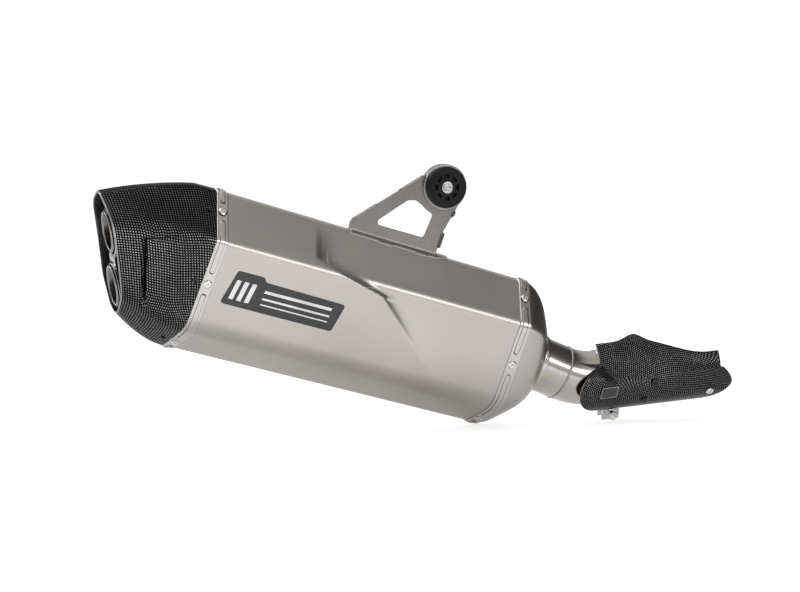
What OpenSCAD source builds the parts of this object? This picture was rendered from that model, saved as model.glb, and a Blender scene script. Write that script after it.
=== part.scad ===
// Exhaust muffler for a large touring motorcycle: a six-sided canister with a
// carbon end cap and two stacked outlets, a hanger with a rubber bush, and a
// clamped link pipe under a carbon heat shield.
//
// Frame: installed pose, +X forward to the engine, +Y inboard, +Z up.
// The origin is the centre of the hanger bolt bore, whose axis is Y.
// The canister is modelled level along X, then rolled about its own axis and
// tilted nose-down. Pipes and hanger are tilted but not rolled.

/* [Pose] */
// Nose-down tilt of the canister axis, degrees
tilt = 15.7; // [8:0.1:22]
// Roll of the six-sided section about the canister axis, degrees
roll = 16; // [8:0.5:22]

/* [Canister] */
// Length of the outer sleeve
sleeve_length = 375; // [330:1:420]
// Half width across the side panels
half_width = 58.5; // [52:0.5:64]
// Height of the upper ridge above the axis, rear end
ridge_z = 88; // [80:0.5:94]
// Height of the lower ridge below the axis, rear end
keel_z = 95.5; // [88:0.5:100]
// Drop of the upper ridge from the rear end to the front end
ridge_drop = 8.5; // [0:0.5:12]
// Sheet thickness of the sleeve
sheet = 1.2; // [0.8:0.1:1.6]
// Depth of the pressed recess on the outer side panel
press_depth = 6; // [3:0.5:8]
// Width of each clamping band
band_width = 13; // [10:0.5:16]

/* [End cap] */
// Distance from the sleeve's rear end to the cap's upper rear corner
cap_reach = 122; // [100:1:135]
// Distance from the sleeve's rear end to the cap's lower rear corner
cap_reach_low = 58; // [45:1:75]
// Wall of the carbon end cap
cap_wall = 1.8; // [1.4:0.1:2.4]
// Depth of the recess in the side of the end cap
cap_press = 6; // [2:0.5:8]
// Inner diameter of each outlet pipe
outlet_bore = 34; // [28:0.5:38]
// Height between the two outlet axes
outlet_pitch = 56; // [52:0.5:60]

/* [Pipes] */
// Outer diameter of the inlet pipe
pipe_d = 60; // [54:0.5:64]
// Wall of the pipes
pipe_wall = 1.2; // [1:0.1:1.6]
// Bend radius of the inlet pipe
bend_r = 95; // [80:1:120]
// Inner diameter of the socket that takes the engine's pipe
socket_d = 55; // [50:0.5:56]
// Length of the link pipe
link_length = 62; // [58:1:70]

/* [Hanger] */
// Bore of the hanger's steel sleeve, for an M8 bolt
bolt_bore = 8.5; // [8.2:0.1:9]
// Diameter of the rubber bush's face
bush_d = 45; // [42:0.5:48]
// Thickness of the bracket plate
bracket_t = 3; // [2:0.5:4]

/* [Heat shield] */
// Gap between the inlet pipe and the shield's inner face
shield_gap = 5.5; // [4.5:0.5:8]
// Wall of the carbon heat shield
shield_t = 1.6; // [1.2:0.1:2]

/* [Hidden] */
$fn = 64;
hull_fn = 32;
weld = 0.3;          // depth by which a weld bead enters its parent
running = 0.05;      // radial clearance of a turning fit
x_rear = -191.5;                      // rear end of the sleeve
x_front = x_rear + sleeve_length;     // front end of the sleeve
pipe_r = pipe_d / 2;
socket_r = socket_d / 2;
link_r = socket_r + pipe_wall;        // outer radius of the link pipe
arc_steps = 3;                        // segments on each rounded corner

// ---------------------------------------------------------------- vectors
function unit(v) = v / norm(v);
function mix(a, b, s) = a + (b - a) * s;
function smooth(s) = let (c = min(max(s, 0), 1)) c * c * (3 - 2 * c);
function heading(v) = atan2(v[1], v[0]);

// One corner [y, z, r] between its neighbours, as arc points moved inward by t.
function corner_points(a, p, b, t) =
    let (
        pt = [p[0], p[1]],
        u = unit([a[0], a[1]] - pt),
        v = unit([b[0], b[1]] - pt),
        half = acos(u * v) / 2,
        centre = pt + unit(u + v) * p[2] / sin(half),
        from = heading(pt + u * p[2] / tan(half) - centre),
        sweep = 180 - 2 * half
    )
    [for (i = [0 : arc_steps])
        let (angle = from - sweep * i / arc_steps)
        centre + (p[2] - t) * [cos(angle), sin(angle)]];

// A rounded outline moved inward by t. The corners run clockwise.
function outline(corners, t) =
    let (n = len(corners))
    [for (k = [0 : n - 1])
        each corner_points(corners[(k + n - 1) % n], corners[k], corners[(k + 1) % n], t)];

// ---------------------------------------------------------------- section
// Corners of the canister's section at x, clockwise seen along +X from behind:
// near ridge, far ridge, far shoulder, far hip, keel, near hip, near shoulder.
function section_corners(x) =
    let (s = (x - x_rear) / sleeve_length, narrow = 5.5 * s, top = ridge_z - ridge_drop * s)
    [[-5, top, 8], [5, top, 8],
     [half_width - narrow, 50.5 - 3.5 * s, 9 + 3 * s],
     [half_width - s, -50, 32],
     [0, -keel_z - 2 + 3.5 * s, 20],
     [-half_width + s, -50, 32],
     [-half_width, 50.5 - 3.5 * s, 9 + 3 * s]];

// Straight stretches of the near side panel are cut into steps, so that the
// pressed recess has points to move.
panel_steps = 7;
function with_panel_steps(ring) =
    let (n = len(ring), k = 6 * (arc_steps + 1) - 1, low = ring[k], high = ring[k + 1])
    [for (i = [0 : n - 1])
        each i == k ? [for (j = [0 : panel_steps - 1]) mix(low, high, j / panel_steps)] : [ring[i]]];

// The recess starts along a diagonal that runs from the shoulder down and
// forward, is deepest at the shoulder and fades out at the hip.
function step_x(z) = z > 38 ? 3 - 4.2 * (z - 38) : 3 + (38 - z) / 0.83;
function press(x, z) = press_depth * smooth((z + 45) / 92) * smooth((x - step_x(z)) / 24);
function pressed(x, p) = p[0] < -35 && p[1] > -45 ? [p[0] + press(x, p[1]), p[1]] : p;

function sleeve_ring(x, t) =
    [for (p = with_panel_steps(outline(section_corners(x), t)))
        let (q = pressed(x, p)) [x, q[0], q[1]]];

// ---------------------------------------------------------------- end cap
// The rear face slants through its upper and lower corners, is turned a little
// to the outer side and bows forward between the corners.
face_slant = (cap_reach - cap_reach_low) / 130;
face_yaw = 0.12;
face_top = 52;
face_keel = -82;
face_bow = 2;
function face_x(y, z) = x_rear - cap_reach + face_slant * (face_top - z) - face_yaw * y
    + face_bow * (1 - pow((z + 15) / 67, 2));
face_corners = [[-5, face_top, 5], [5, face_top, 5], [29, 34, 20], [29, -40, 26],
    [0, face_keel, 20], [-35, -40, 30], [-38, 34, 22]];

// Corners of the end cap, s = 0 at the sleeve and s = 1 at the rear face. The
// ridge runs on in the sleeve's line before it drops, and the shoulders soften.
ridge_hold = 0.16;
function ridge_share(s) = pow(max(s - ridge_hold, 0) / (1 - ridge_hold), 1.15);
shoulder_soft = 22;
function cap_corner(k, s) =
    let (
        a = section_corners(x_rear)[k],
        share = k < 2 ? ridge_share(s) : k == 3 || k == 5 ? pow(s, 1.6) : s * s,
        p = mix(a, face_corners[k], share)
    )
    k == 2 || k == 6 ? [p[0], p[1], mix(a[2], shoulder_soft, smooth(s / 0.35))] : p;
function cap_corners(s) = [for (k = [0 : 6]) cap_corner(k, s)];
function cap_hollow(s, z) =
    cap_press * smooth((s - 0.06) / 0.5) * (1 - smooth((s - 0.67) / 0.05))
    * smooth((z + 52) / 30) * (1 - smooth((z - 49 + 28 * s) / 9));
function cap_ring(s, t) =
    [for (p = with_panel_steps(outline(cap_corners(s), t)))
        let (y = p[0] + (p[0] < -25 ? cap_hollow(s, p[1]) : 0))
        [mix(x_rear - 0.2, face_x(y, p[1]), s), y, p[1]]];

// ---------------------------------------------------------------- inlet cap
collar_z = -4.5;
collar_r = pipe_r + 2.5;
dome_length = 39;
dome_taper = 1.3;     // 1 gives a round bulge, more gives a flatter cone
function dome_ring(a, t) =
    let (
        ring = with_panel_steps(outline(section_corners(x_front), t + 0.3)),
        s = pow(cos(a), dome_taper),
        rise = pow(sin(a), dome_taper)
    )
    [for (p = ring)
        let (
            q = pressed(x_front, p),
            out = heading([q[0], q[1] - collar_z]),
            hub = (collar_r - t) * [cos(out), sin(out)] + [0, collar_z],
            r = mix(hub, q, s)
        )
        [x_front + 0.2 + (dome_length - t) * rise, r[0], r[1]]];

// ---------------------------------------------------------------- skins
// Triangles between consecutive rings, which follow each other along +X and run
// anticlockwise seen along +X.
function quad(a, b, c, d) = [[a, b, d], [a, d, c]];
function wall_faces(rings, n) =
    [for (i = [0 : rings - 2], j = [0 : n - 1])
        let (a = i * n + j, b = i * n + (j + 1) % n)
        each quad(a, b, a + n, b + n)];

// Closed tube wall: outer rings along +X, then the inner rings back.
module tube_skin(outer, inner) {
    n = len(outer[0]);
    rings = concat(outer, [for (i = [len(inner) - 1 : -1 : 0]) inner[i]]);
    count = len(rings) * n;
    faces = [for (f = wall_faces(len(rings) + 1, n)) [for (v = f) v % count]];
    polyhedron([for (r = rings) each r], faces, convexity = 6);
}

// Closed shell from rings that each run out along one face and back along the
// other. Its two ends are closed by a strip of quads.
module shell_skin(rings) {
    n = len(rings[0]);
    last = (len(rings) - 1) * n;
    function strip(from, step) =
        [for (j = [0 : n / 2 - 2])
            let (a = from + j, c = from + n - 1 - j)
            each step > 0 ? quad(a, a + 1, c, c - 1) : quad(a + 1, a, c - 1, c)];
    polyhedron([for (r = rings) each r],
        concat(wall_faces(len(rings), n), strip(0, -1), strip(last, 1)), convexity = 8);
}

// Flat plate in the shape of a section, between two planes across the axis.
module section_plate(x, t, thick) {
    rotate([90, 0, 90]) translate([0, 0, x]) linear_extrude(thick)
        polygon(outline(section_corners(x), t));
}

// ---------------------------------------------------------------- placing
hang = [62.5, -15, 152.7];   // hanger bore centre in the canister's level frame
module installed() {
    rotate([0, tilt, 0]) translate(-hang) children();
}
module rolled() {
    installed() rotate([roll, 0, 0]) children();
}

// A cylinder along X with its base at x.
module rod_x(x, length, r) {
    translate([x, 0, 0]) rotate([0, 90, 0]) cylinder(h = length, r = r);
}
module tube_x(x, length, r_out, r_in) {
    difference() {
        rod_x(x, length, r_out);
        rod_x(x - 1, length + 2, r_in);
    }
}

// ---------------------------------------------------------------- sleeve
sleeve_stations = concat([x_rear, -110, -60, -42],
    [for (x = [-28 : 14 : 112]) x], [136, x_front]);
rear_rivet_x = x_rear + 6.5;
front_rivet_x = x_front - 7;
rivet_r = 2.4;

// Places children on each of the six panels of the section at x, with +Z
// pointing out of the panel and the origin on its surface. Each panel is given
// as [start, end, share], clockwise, and the origin is at that share of it.
side_share = 0.48;
ridge_share = 0.42;
module on_panels(x) {
    c = section_corners(x);
    shoulder = pressed(x, [c[6][0], c[6][1] + 3]);
    middle = mix(c[5][1], c[6][1], 1 - side_share);
    low = pressed(x, [mix(c[5][0], c[6][0], 0.5), middle - 8]);
    high = pressed(x, [mix(c[5][0], c[6][0], 0.5), middle + 8]);
    panels = [
        [shoulder, c[0], 1 - ridge_share], [low, high, 0.5], [c[4], c[5], ridge_share],
        [c[1], c[2], ridge_share], [c[2], c[3], side_share], [c[3], c[4], 1 - ridge_share]];
    for (k = panels) {
        at = mix([k[0][0], k[0][1]], [k[1][0], k[1][1]], k[2]);
        along = [k[1][0] - k[0][0], k[1][1] - k[0][1]];
        translate([x, at[0], at[1]]) rotate([heading(-along) + 180, 0, 0]) children();
    }
}
module rivet_holes(x, r) {
    on_panels(x) translate([0, 0, -9]) cylinder(h = 18, r = r, $fn = 24);
}

module outer_sleeve() {
    color("#b3aca4") rolled() difference() {
        tube_skin([for (x = sleeve_stations) sleeve_ring(x, 0)],
            [for (x = sleeve_stations) sleeve_ring(x, sheet)]);
        rivet_holes(rear_rivet_x, rivet_r + 0.1);
        rivet_holes(front_rivet_x, rivet_r + 0.1);
    }
}

// ---------------------------------------------------------------- bands
band_t = 1;
pad_t = 0.6;
pad_width = 5.5;
function flat(ring) = [for (p = ring) [p[1], p[2]]];
function band_ring(x, t) = flat([for (p = with_panel_steps(outline(section_corners(x), t)))
    let (q = pressed(x, p)) [x, q[0], q[1]]]);
module hoop(x, width, out_t, in_t) {
    translate([x, 0, 0]) rotate([90, 0, 90]) linear_extrude(width) difference() {
        polygon(band_ring(x + width / 2, out_t));
        polygon(band_ring(x + width / 2, in_t));
    }
}
module band(x, rivet_x) {
    fit = -0.25;
    difference() {
        union() {
            hoop(x, band_width, fit - band_t, fit);
            difference() {
                hoop(rivet_x - pad_width / 2, pad_width, fit - band_t - pad_t, fit - band_t + 0.1);
                on_panels(rivet_x) cube([pad_width + 2, 24, 12], center = true);
            }
        }
        rivet_holes(rivet_x, rivet_r + 0.1);
    }
}
module rear_band() {
    color("#c8c2ba") rolled() band(x_rear, rear_rivet_x);
}
module front_band() {
    color("#c8c2ba") rolled() band(x_front - band_width, front_rivet_x);
}

// Blind rivet: domed head with a hollow centre, and a tubular shank.
module rivet() {
    head_z = 0.25 + band_t + 0.12;
    difference() {
        union() {
            translate([0, 0, head_z]) cylinder(h = 1.4, r1 = 4.8, r2 = 3.6);
            translate([0, 0, -4]) cylinder(h = 4 + head_z + 0.5, r = rivet_r);
        }
        translate([0, 0, head_z - 0.6]) cylinder(h = 4, r = 1.5);
    }
}
module rear_band_rivets() {
    color("#e0dcd6") rolled() on_panels(rear_rivet_x) rivet();
}
module front_band_rivets() {
    color("#e0dcd6") rolled() on_panels(front_rivet_x) rivet();
}

// ---------------------------------------------------------------- inlet end
dome_angles = [for (a = [0 : 15 : 90]) a];
skirt_x = x_front - 22;
module inlet_cap() {
    wall = 1.5;
    fit = 0.25;
    color("#a49d95") rolled() difference() {
        tube_skin(
            concat([for (x = [skirt_x, x_front + 0.1]) sleeve_ring(x, sheet + fit)],
                [for (a = dome_angles) dome_ring(a, 0)]),
            concat([for (x = [skirt_x, x_front + 0.1]) sleeve_ring(x, sheet + wall)],
                [for (a = dome_angles) dome_ring(a, wall)]));
        rivet_holes(front_rivet_x, rivet_r + 0.1);
    }
}

// Start of the inlet pipe on the collar, in the level frame.
pipe_start = [x_front + dome_length - 3, 0, collar_z];
pipe_dip = 7.5;
straight = 37;
bend_turn = tilt + pipe_dip + 4;
module at_pipe_start() {
    translate(pipe_start) rotate([0, pipe_dip, 0]) children();
}
module at_bend_end() {
    at_pipe_start() translate([straight + bend_r * sin(bend_turn), 0, bend_r * (1 - cos(bend_turn))])
        rotate([0, -bend_turn, 0]) children();
}

module inlet_collar() {
    slot = [1.8, 10, 5];
    color("#b8b1a9") installed() at_pipe_start() difference() {
        tube_x(0.5, 7, pipe_r + 2.2, pipe_r + 0.02);
        rotate([72, 0, 0]) translate([4, 0, pipe_r + 2.5]) cube(slot, center = true);
    }
}
module inlet_pipe() {
    color("#9d968e") installed() at_pipe_start() tube_x(-12, straight + 11.4, pipe_r, pipe_r - pipe_wall);
}
module pipe_weld() {
    color("#8f877f") installed() at_pipe_start() translate([straight, 0, 0]) rotate([0, 90, 0])
        rotate_extrude() translate([pipe_r - 0.6, 0]) circle(r = 1.5);
}
slot_w = 3;
// Sawn slots at +Z and -Z through the end of a socket along X.
module socket_slots(x, length, r) {
    for (turn = [0, 180]) rotate([turn, 0, 0]) {
        translate([x, -slot_w / 2, 0]) cube([length, slot_w, r + 3]);
        translate([x, 0, 0]) cylinder(h = r + 3, r = slot_w / 2);
    }
}
rear_socket = 27;            // length of the straight socket after the bend
rear_socket_r = link_r + 0.03;
module bend_pipe() {
    color("#9d968e") installed() {
        at_pipe_start() translate([straight + 0.6, 0, bend_r]) rotate([90, 90, 0])
            rotate_extrude(angle = bend_turn) translate([bend_r, 0]) difference() {
                circle(r = pipe_r);
                circle(r = pipe_r - pipe_wall);
            }
        at_bend_end() difference() {
            union() {
                rod_x(0.2, rear_socket - 0.2, rear_socket_r + pipe_wall);
                rod_x(0.2, 0.65, pipe_r + 0.35);
            }
            rod_x(0, rear_socket + 1, rear_socket_r);
            socket_slots(rear_socket - 14, 20, pipe_r);
        }
    }
}

// ---------------------------------------------------------------- link pipe
link_x = 4;                  // rear end of the link pipe inside the socket
link_end = link_x + link_length;
module link_pipe() {
    color("#aaa39b") installed() at_bend_end() difference() {
        tube_x(link_x, link_length, link_r, socket_r);
        socket_slots(link_end - 22, 30, link_r);
    }
}

// ---------------------------------------------------------------- clamp
clamp_x = 18;                // middle of the clamp along the socket
clamp_w = 20;
clamp_r = rear_socket_r + pipe_wall + running;
clamp_t = 1.5;
ear_gap = 9;
ear_t = 3;
ear_len = 19;
clamp_turn = 16;             // the ears point down and this far inboard
screw_drop = clamp_r + 13;
screw_r = 3;
module at_clamp() {
    at_bend_end() translate([clamp_x, 0, 0]) rotate([clamp_turn, 0, 0]) children();
}
// The screw's axis crosses the ears; the children's +Z points to its head.
module at_clamp_screw() {
    at_clamp() translate([0, 0, -screw_drop]) rotate([90, 0, 0]) children();
}
module clamp_band() {
    color("#c4beb6") installed() at_clamp() difference() {
        union() {
            tube_x(-clamp_w / 2, clamp_w, clamp_r + clamp_t, clamp_r);
            for (side = [-1, 1])
                translate([-clamp_w / 2, side * (ear_gap + ear_t) / 2 - ear_t / 2, -clamp_r - ear_len])
                    cube([clamp_w, ear_t, ear_len + 0.6]);
        }
        translate([-clamp_w, -ear_gap / 2, -clamp_r - 5]) cube([2 * clamp_w, ear_gap, 8]);
        rod_x(-clamp_w, 2 * clamp_w, clamp_r);
        translate([0, 0, -screw_drop]) rotate([90, 0, 0])
            cylinder(h = 4 * ear_gap, r = screw_r + running, center = true);
    }
}
ear_face = ear_gap / 2 + ear_t;
module clamp_nut() {
    color("#d6d1ca") installed() at_clamp_screw() translate([0, 0, -ear_face - 5]) difference() {
        cylinder(h = 5, r = 5.7, $fn = 6);
        translate([0, 0, -1]) cylinder(h = 7, r = screw_r + running);
    }
}
washer_t = 1.2;
module clamp_washer() {
    color("#dedad4") installed() at_clamp_screw() translate([0, 0, ear_face]) difference() {
        cylinder(h = washer_t, r = 6);
        translate([0, 0, -1]) cylinder(h = 4, r = screw_r + running);
    }
}
screw_length = 24;
module clamp_screw() {
    head_z = ear_face + washer_t;
    color("#d8d4ce") installed() at_clamp_screw() difference() {
        union() {
            translate([0, 0, head_z - screw_length]) cylinder(h = screw_length + 0.1, r = screw_r);
            translate([0, 0, head_z]) cylinder(h = 5.2, r = 5);
            translate([0, 0, head_z + 5.2]) cylinder(h = 0.8, r1 = 5, r2 = 4.3);
        }
        translate([0, 0, head_z + 2.8]) cylinder(h = 4, r = 2.9, $fn = 6);
    }
}

// ---------------------------------------------------------------- end cap
cap_stations = [1, 0.86, 0.76, 0.72, 0.67, 0.58, 0.46, 0.34, 0.25, 0.16, 0.1, 0];
cap_rivet_r = 1.6;
cap_proud = 0.4;             // how far the cap stands outside the sleeve's line
module on_cap_panels() {
    on_panels(x_rear) translate([-7.5, 0, 0]) children();
}
module cap_rivet_holes() {
    on_cap_panels() translate([0, 0, -9]) cylinder(h = 16, r = cap_rivet_r + 0.1, $fn = 24);
}
module end_cap() {
    color("#1d1d1f") rolled() difference() {
        tube_skin([for (s = cap_stations) cap_ring(s, -cap_proud)],
            [for (s = cap_stations) cap_ring(s, cap_wall - cap_proud)]);
        cap_rivet_holes();
    }
}
module end_cap_rivets() {
    color("#2a2a2c") rolled() on_cap_panels() difference() {
        union() {
            translate([0, 0, -5]) cylinder(h = 6, r = cap_rivet_r);
            translate([0, 0, 0.5]) cylinder(h = 0.9, r1 = 2.9, r2 = 2.2);
        }
        translate([0, 0, 0.9]) cylinder(h = 2, r = 1, $fn = 6);
    }
}

// Inner end plate with a flange that joins the sleeve, the band and the cap.
bulkhead_x = x_rear + 12;
flange_t = 1.2;
flange_fit = cap_wall - cap_proud + 0.45;
module rear_bulkhead() {
    stations = [cap_stations[9], cap_stations[10], 0];
    color("#8d877f") rolled() {
        difference() {
            tube_skin(
                concat([for (s = stations) cap_ring(s, flange_fit)], [sleeve_ring(x_rear + 20, flange_fit)]),
                concat([for (s = stations) cap_ring(s, flange_fit + flange_t)],
                    [sleeve_ring(x_rear + 20, flange_fit + flange_t)]));
            rivet_holes(rear_rivet_x, rivet_r + 0.1);
            cap_rivet_holes();
        }
        difference() {
            translate([bulkhead_x, 0, 0]) rotate([90, 0, 90]) linear_extrude(1.5)
                polygon(band_ring(bulkhead_x, flange_fit + flange_t - 0.2));
            for (k = [0, 1]) outlet_rod(k, outlet_r + running);
        }
    }
}

// ---------------------------------------------------------------- outlets
outlet_r = outlet_bore / 2 + 1.2;
outlet_y = 0;
outlet_z = [13, 13 - outlet_pitch];
outlet_from = x_rear + 92;
outlet_reach = 230;          // how far the uncut outlet rods run to the rear
lip_recess = [2.5, 0.5];     // depth of each lip inside the rear face
lip_yaw = 0.05;
lip_t = 3;
lip_rim = 2;
plate_recess = 20;
plate_t = 1.5;

// A slab across the axis that slants like the rear face, from `near` to `far`
// millimetres in front of the point `at`, measured along X.
function leaning(yaw) = [0, -atan(face_slant / norm([1, yaw])), atan(yaw)];
module slab(at, yaw, near, far) {
    lean = 1 / norm([1, yaw, face_slant]);
    translate(at) rotate(leaning(yaw)) translate([near * lean, -200, -200])
        cube([(far - near) * lean, 400, 400]);
}
function face_point(y, z) = [face_x(y, z), y, z];
module face_slab(near, far) {
    slab(face_point(0, 0), face_yaw, near, far);
}
module outlet_slab(k, near, far) {
    slab(face_point(outlet_y, outlet_z[k]), lip_yaw, near, far);
}
module outlet_rod(k, r) {
    translate([0, outlet_y, outlet_z[k]]) rod_x(outlet_from - outlet_reach, outlet_reach, r);
}
module outlet_pipe(k) {
    difference() {
        union() {
            intersection() {
                outlet_rod(k, outlet_r);
                outlet_slab(k, lip_recess[k], 250);
            }
            intersection() {
                outlet_rod(k, outlet_r + lip_rim);
                outlet_slab(k, lip_recess[k], lip_recess[k] + lip_t);
            }
        }
        translate([1, 0, 0]) outlet_rod(k, outlet_bore / 2);
    }
}
module outlet_pipe_upper() {
    color("#6f6a66") rolled() outlet_pipe(0);
}
module outlet_pipe_lower() {
    color("#6f6a66") rolled() outlet_pipe(1);
}
// Polished trim: a ring round each outlet and a bridge between the rings.
trim_gap = 1.4;
trim_t = 1.4;
bridge_width = 6;
module outlet_trim() {
    inner = outlet_r + lip_rim + trim_gap;
    color("#d9d5cf") rolled() intersection() {
        union() {
            for (k = [0, 1]) difference() {
                intersection() {
                    outlet_rod(k, inner + trim_t);
                    outlet_slab(k, lip_recess[k] + lip_t, 60);
                }
                outlet_rod(k, inner);
            }
            intersection() {
                translate([outlet_from - outlet_reach, outlet_y - bridge_width / 2, outlet_z[1] + inner + 0.6])
                    cube([outlet_reach, bridge_width, outlet_pitch - 2 * inner - 1.2]);
                face_slab(5, 60);
            }
        }
        face_slab(-20, plate_recess + 0.2);
    }
}
screw_z = outlet_z[1] - outlet_r - 10;
module at_plate_screw() {
    translate(face_point(0, screw_z) + [plate_recess + 0.3, 0, 0]) rotate(leaning(face_yaw)) children();
}
module outlet_plate() {
    color("#202022") rolled() difference() {
        intersection() {
            translate([face_x(0, face_top) - 5, 0, 0]) rotate([90, 0, 90]) linear_extrude(140)
                polygon(flat(cap_ring(0.94, cap_wall + 0.6)));
            face_slab(plate_recess, plate_recess + plate_t);
        }
        for (k = [0, 1]) outlet_rod(k, outlet_r + running);
        at_plate_screw() rod_x(-5, 20, 1.6);
    }
}
module outlet_plate_screw() {
    color("#8f8b86") rolled() at_plate_screw() difference() {
        union() {
            rod_x(-0.2, 8, 1.45);
            rod_x(-2.4, 2.3, 3.2);
        }
        rod_x(-3, 1.6, 1.3);
    }
}

// ---------------------------------------------------------------- inside
core_r = 29;
core_z = -2;
baffle_x = -62;
front_baffle_x = skirt_x - 4;
module perforated_core() {
    holes_round = 6;
    holes_along = 7;
    pitch = (front_baffle_x - baffle_x - 30) / (holes_along - 1);
    color("#a8a199") rolled() translate([0, 0, core_z]) difference() {
        tube_x(baffle_x - 8, x_front + 20 - baffle_x + 8, core_r, core_r - 1.2);
        for (i = [0 : holes_along - 1], j = [0 : holes_round / 2 - 1])
            translate([baffle_x + 15 + i * pitch, 0, 0]) rotate([(j + i % 2 / 2) * 360 / holes_round, 0, 0])
                cylinder(h = 3 * core_r, r = 2.5, center = true, $fn = 24);
    }
}
module baffle(x, gap) {
    difference() {
        translate([x, 0, 0]) rotate([90, 0, 90]) linear_extrude(1.5)
            polygon(band_ring(x, sheet + gap));
        translate([0, 0, core_z]) rod_x(x - 2, 6, core_r + running);
    }
}
module inner_baffle() {
    vents = [for (a = [35, 145, 215, 325]) a];
    color("#8d877f") rolled() difference() {
        baffle(baffle_x, 0.3);
        for (a = vents) rotate([a, 0, 0]) translate([0, 43, 0]) rod_x(baffle_x - 2, 6, 6);
    }
}
module front_baffle() {
    color("#8d877f") rolled() baffle(front_baffle_x, 0.8);
}
module packing() {
    inset = sheet + 2;
    stations = concat([for (x = sleeve_stations) if (x > baffle_x && x < front_baffle_x) x],
        [front_baffle_x - 0.5]);
    color("#d8cfa8") rolled() difference() {
        tube_skin([for (x = stations) sleeve_ring(x, inset)],
            [for (x = stations) [for (p = sleeve_ring(x, inset)) [x, p[1] / 9, core_z + (p[2] - core_z) / 9]]]);
        translate([0, 0, core_z]) rod_x(baffle_x, x_front - baffle_x, core_r + 0.1);
    }
}

// ---------------------------------------------------------------- hanger
ring_r = 25;
ring_bore = 18;
ring_w = 10;
// A disc centred at p = [x, z] in the bracket's plane.
module disc(p, r) {
    translate(p) circle(r = r, $fn = hull_fn);
}
bore = [hang[0], hang[2]];
foot_z = 83.7;
module bracket_outline() {
    hull() {
        disc([-29, foot_z + 2], 3);
        disc([-29, 90.5], 3);
        disc([70, foot_z], 3);
        disc(bore - [6, 4], 21.4);
    }
    hull() {
        disc([66, 106], 8.5);
        disc(bore, ring_r);
    }
}
module bracket_window() {
    difference() {
        hull() {
            disc([2, 98], 3.5);
            disc([29, 123], 6);
            disc([35, 124.5], 6);
            disc([53, 118], 5);
            disc([51, 98], 4);
        }
        disc(bore, ring_r + 6.5);
    }
}
// Puts a drawing in the X-Z plane at the bracket, thickened along Y.
module upright(thick, y) {
    translate([0, y + thick / 2, 0]) rotate([90, 0, 0]) linear_extrude(thick) children();
}
module hanger_bracket() {
    // Edges folded towards the outer side: [x, z, length, slope in degrees]
    edges = [[-30.9, 92.4, 32, 44.5], [13.3, 135.9, 31, 44.5], [74.3, 105, 18, -94.4], [81, 131, 8, -105]];
    fold = 4.5;
    color("#b9b2a9") installed() {
        difference() {
            upright(bracket_t, hang[1]) difference() {
                bracket_outline();
                bracket_window();
            }
            translate([hang[0], hang[1], hang[2]]) rotate([90, 0, 0])
                cylinder(h = 20, r = ring_r - 1, center = true);
        }
        for (e = edges) translate([e[0], hang[1] - bracket_t / 2 - fold, e[1]]) rotate([0, -e[3], 0])
            cube([e[2], fold + 1, 1.6]);
    }
}
module at_bore() {
    translate(hang) rotate([90, 0, 0]) children();
}
module hanger_ring() {
    color("#b9b2a9") installed() at_bore() difference() {
        cylinder(h = ring_w, r = ring_r, center = true);
        cylinder(h = ring_w + 2, r = ring_bore, center = true);
    }
}
module rubber_bush() {
    windows = 8;
    window_angle = 26;
    flange = 6;
    half = ring_w / 2;
    sleeve_r = bolt_bore / 2 + 2.2;
    color("#18181a") installed() at_bore() difference() {
        union() {
            cylinder(h = 2 * half + 1, r = ring_bore - 0.02, center = true);
            translate([0, 0, half + 0.05]) cylinder(h = flange - 1.5, r = bush_d / 2);
            translate([0, 0, half + flange - 1.5]) cylinder(h = 1.5, r1 = bush_d / 2, r2 = bush_d / 2 - 1.5);
            translate([0, 0, -half - flange - 0.05]) cylinder(h = flange, r = bush_d / 2 - 1.5);
        }
        cylinder(h = 60, r = sleeve_r + running, center = true);
        for (k = [0 : windows - 1]) rotate([0, 0, 360 * k / windows])
            rotate_extrude(angle = window_angle) translate([10, half + flange - 4]) square([3.6, 12]);
    }
}
hanger_sleeve_len = 25;
module hanger_sleeve() {
    color("#cfcac3") installed() at_bore() difference() {
        cylinder(h = hanger_sleeve_len, r = bolt_bore / 2 + 2.2, center = true);
        cylinder(h = hanger_sleeve_len + 2, r = bolt_bore / 2, center = true);
    }
}
// Saddle under the bracket: two strips along the ridge, one on each upper panel.
saddle_x = [-33, 84];
saddle_t = 1.5;
module saddle_plate() {
    reach = [-9, 17];        // across the ridge, outer side first
    color("#b9b2a9") rolled() difference() {
        intersection() {
            hull() {
                section_plate(saddle_x[0], -saddle_t - 0.1, 1);
                section_plate(saddle_x[1], -saddle_t - 0.1, 1);
            }
            translate([saddle_x[0], reach[0], 60]) cube([saddle_x[1] - saddle_x[0], reach[1] - reach[0], 60]);
        }
        hull() {
            section_plate(saddle_x[0] - 40, 0.02, 1);
            section_plate(saddle_x[1] + 40, 0.02, 1);
        }
    }
}

// ---------------------------------------------------------------- heat shield
// The shield is drawn round the link pipe: u along the pipe, v outboard and w
// up from its axis. It has a lobe round the pipe, a valley and a raised wing.
lobe_r = pipe_r + shield_gap + shield_t;
lobe_share = 0.62;
function valley_angle(u) = 2 + 26 * pow(1 - smooth((u + 12) / 40), 2);
function valley_dip(u) = 3.4 * (1 - smooth((u - 35) / 50));
function wing_top(u) = 19 + 23 * (1 - smooth((u - 30) / 95)) + 6.5 * exp(-pow((u - 32) / 13, 2));
function wing_out(u) = mix(37, sqrt(pow(lobe_r, 2) - pow(19, 2)) + 1, smooth((u - 30) / 80));
lobe_low = -86;              // angle of the lobe's lower edge
function lobe_point(angle, dip) = (lobe_r - dip) * [cos(angle), sin(angle)];
function lobe_dip(u, share) = valley_dip(u) * smooth((share - 0.72) / 0.28);
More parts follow.
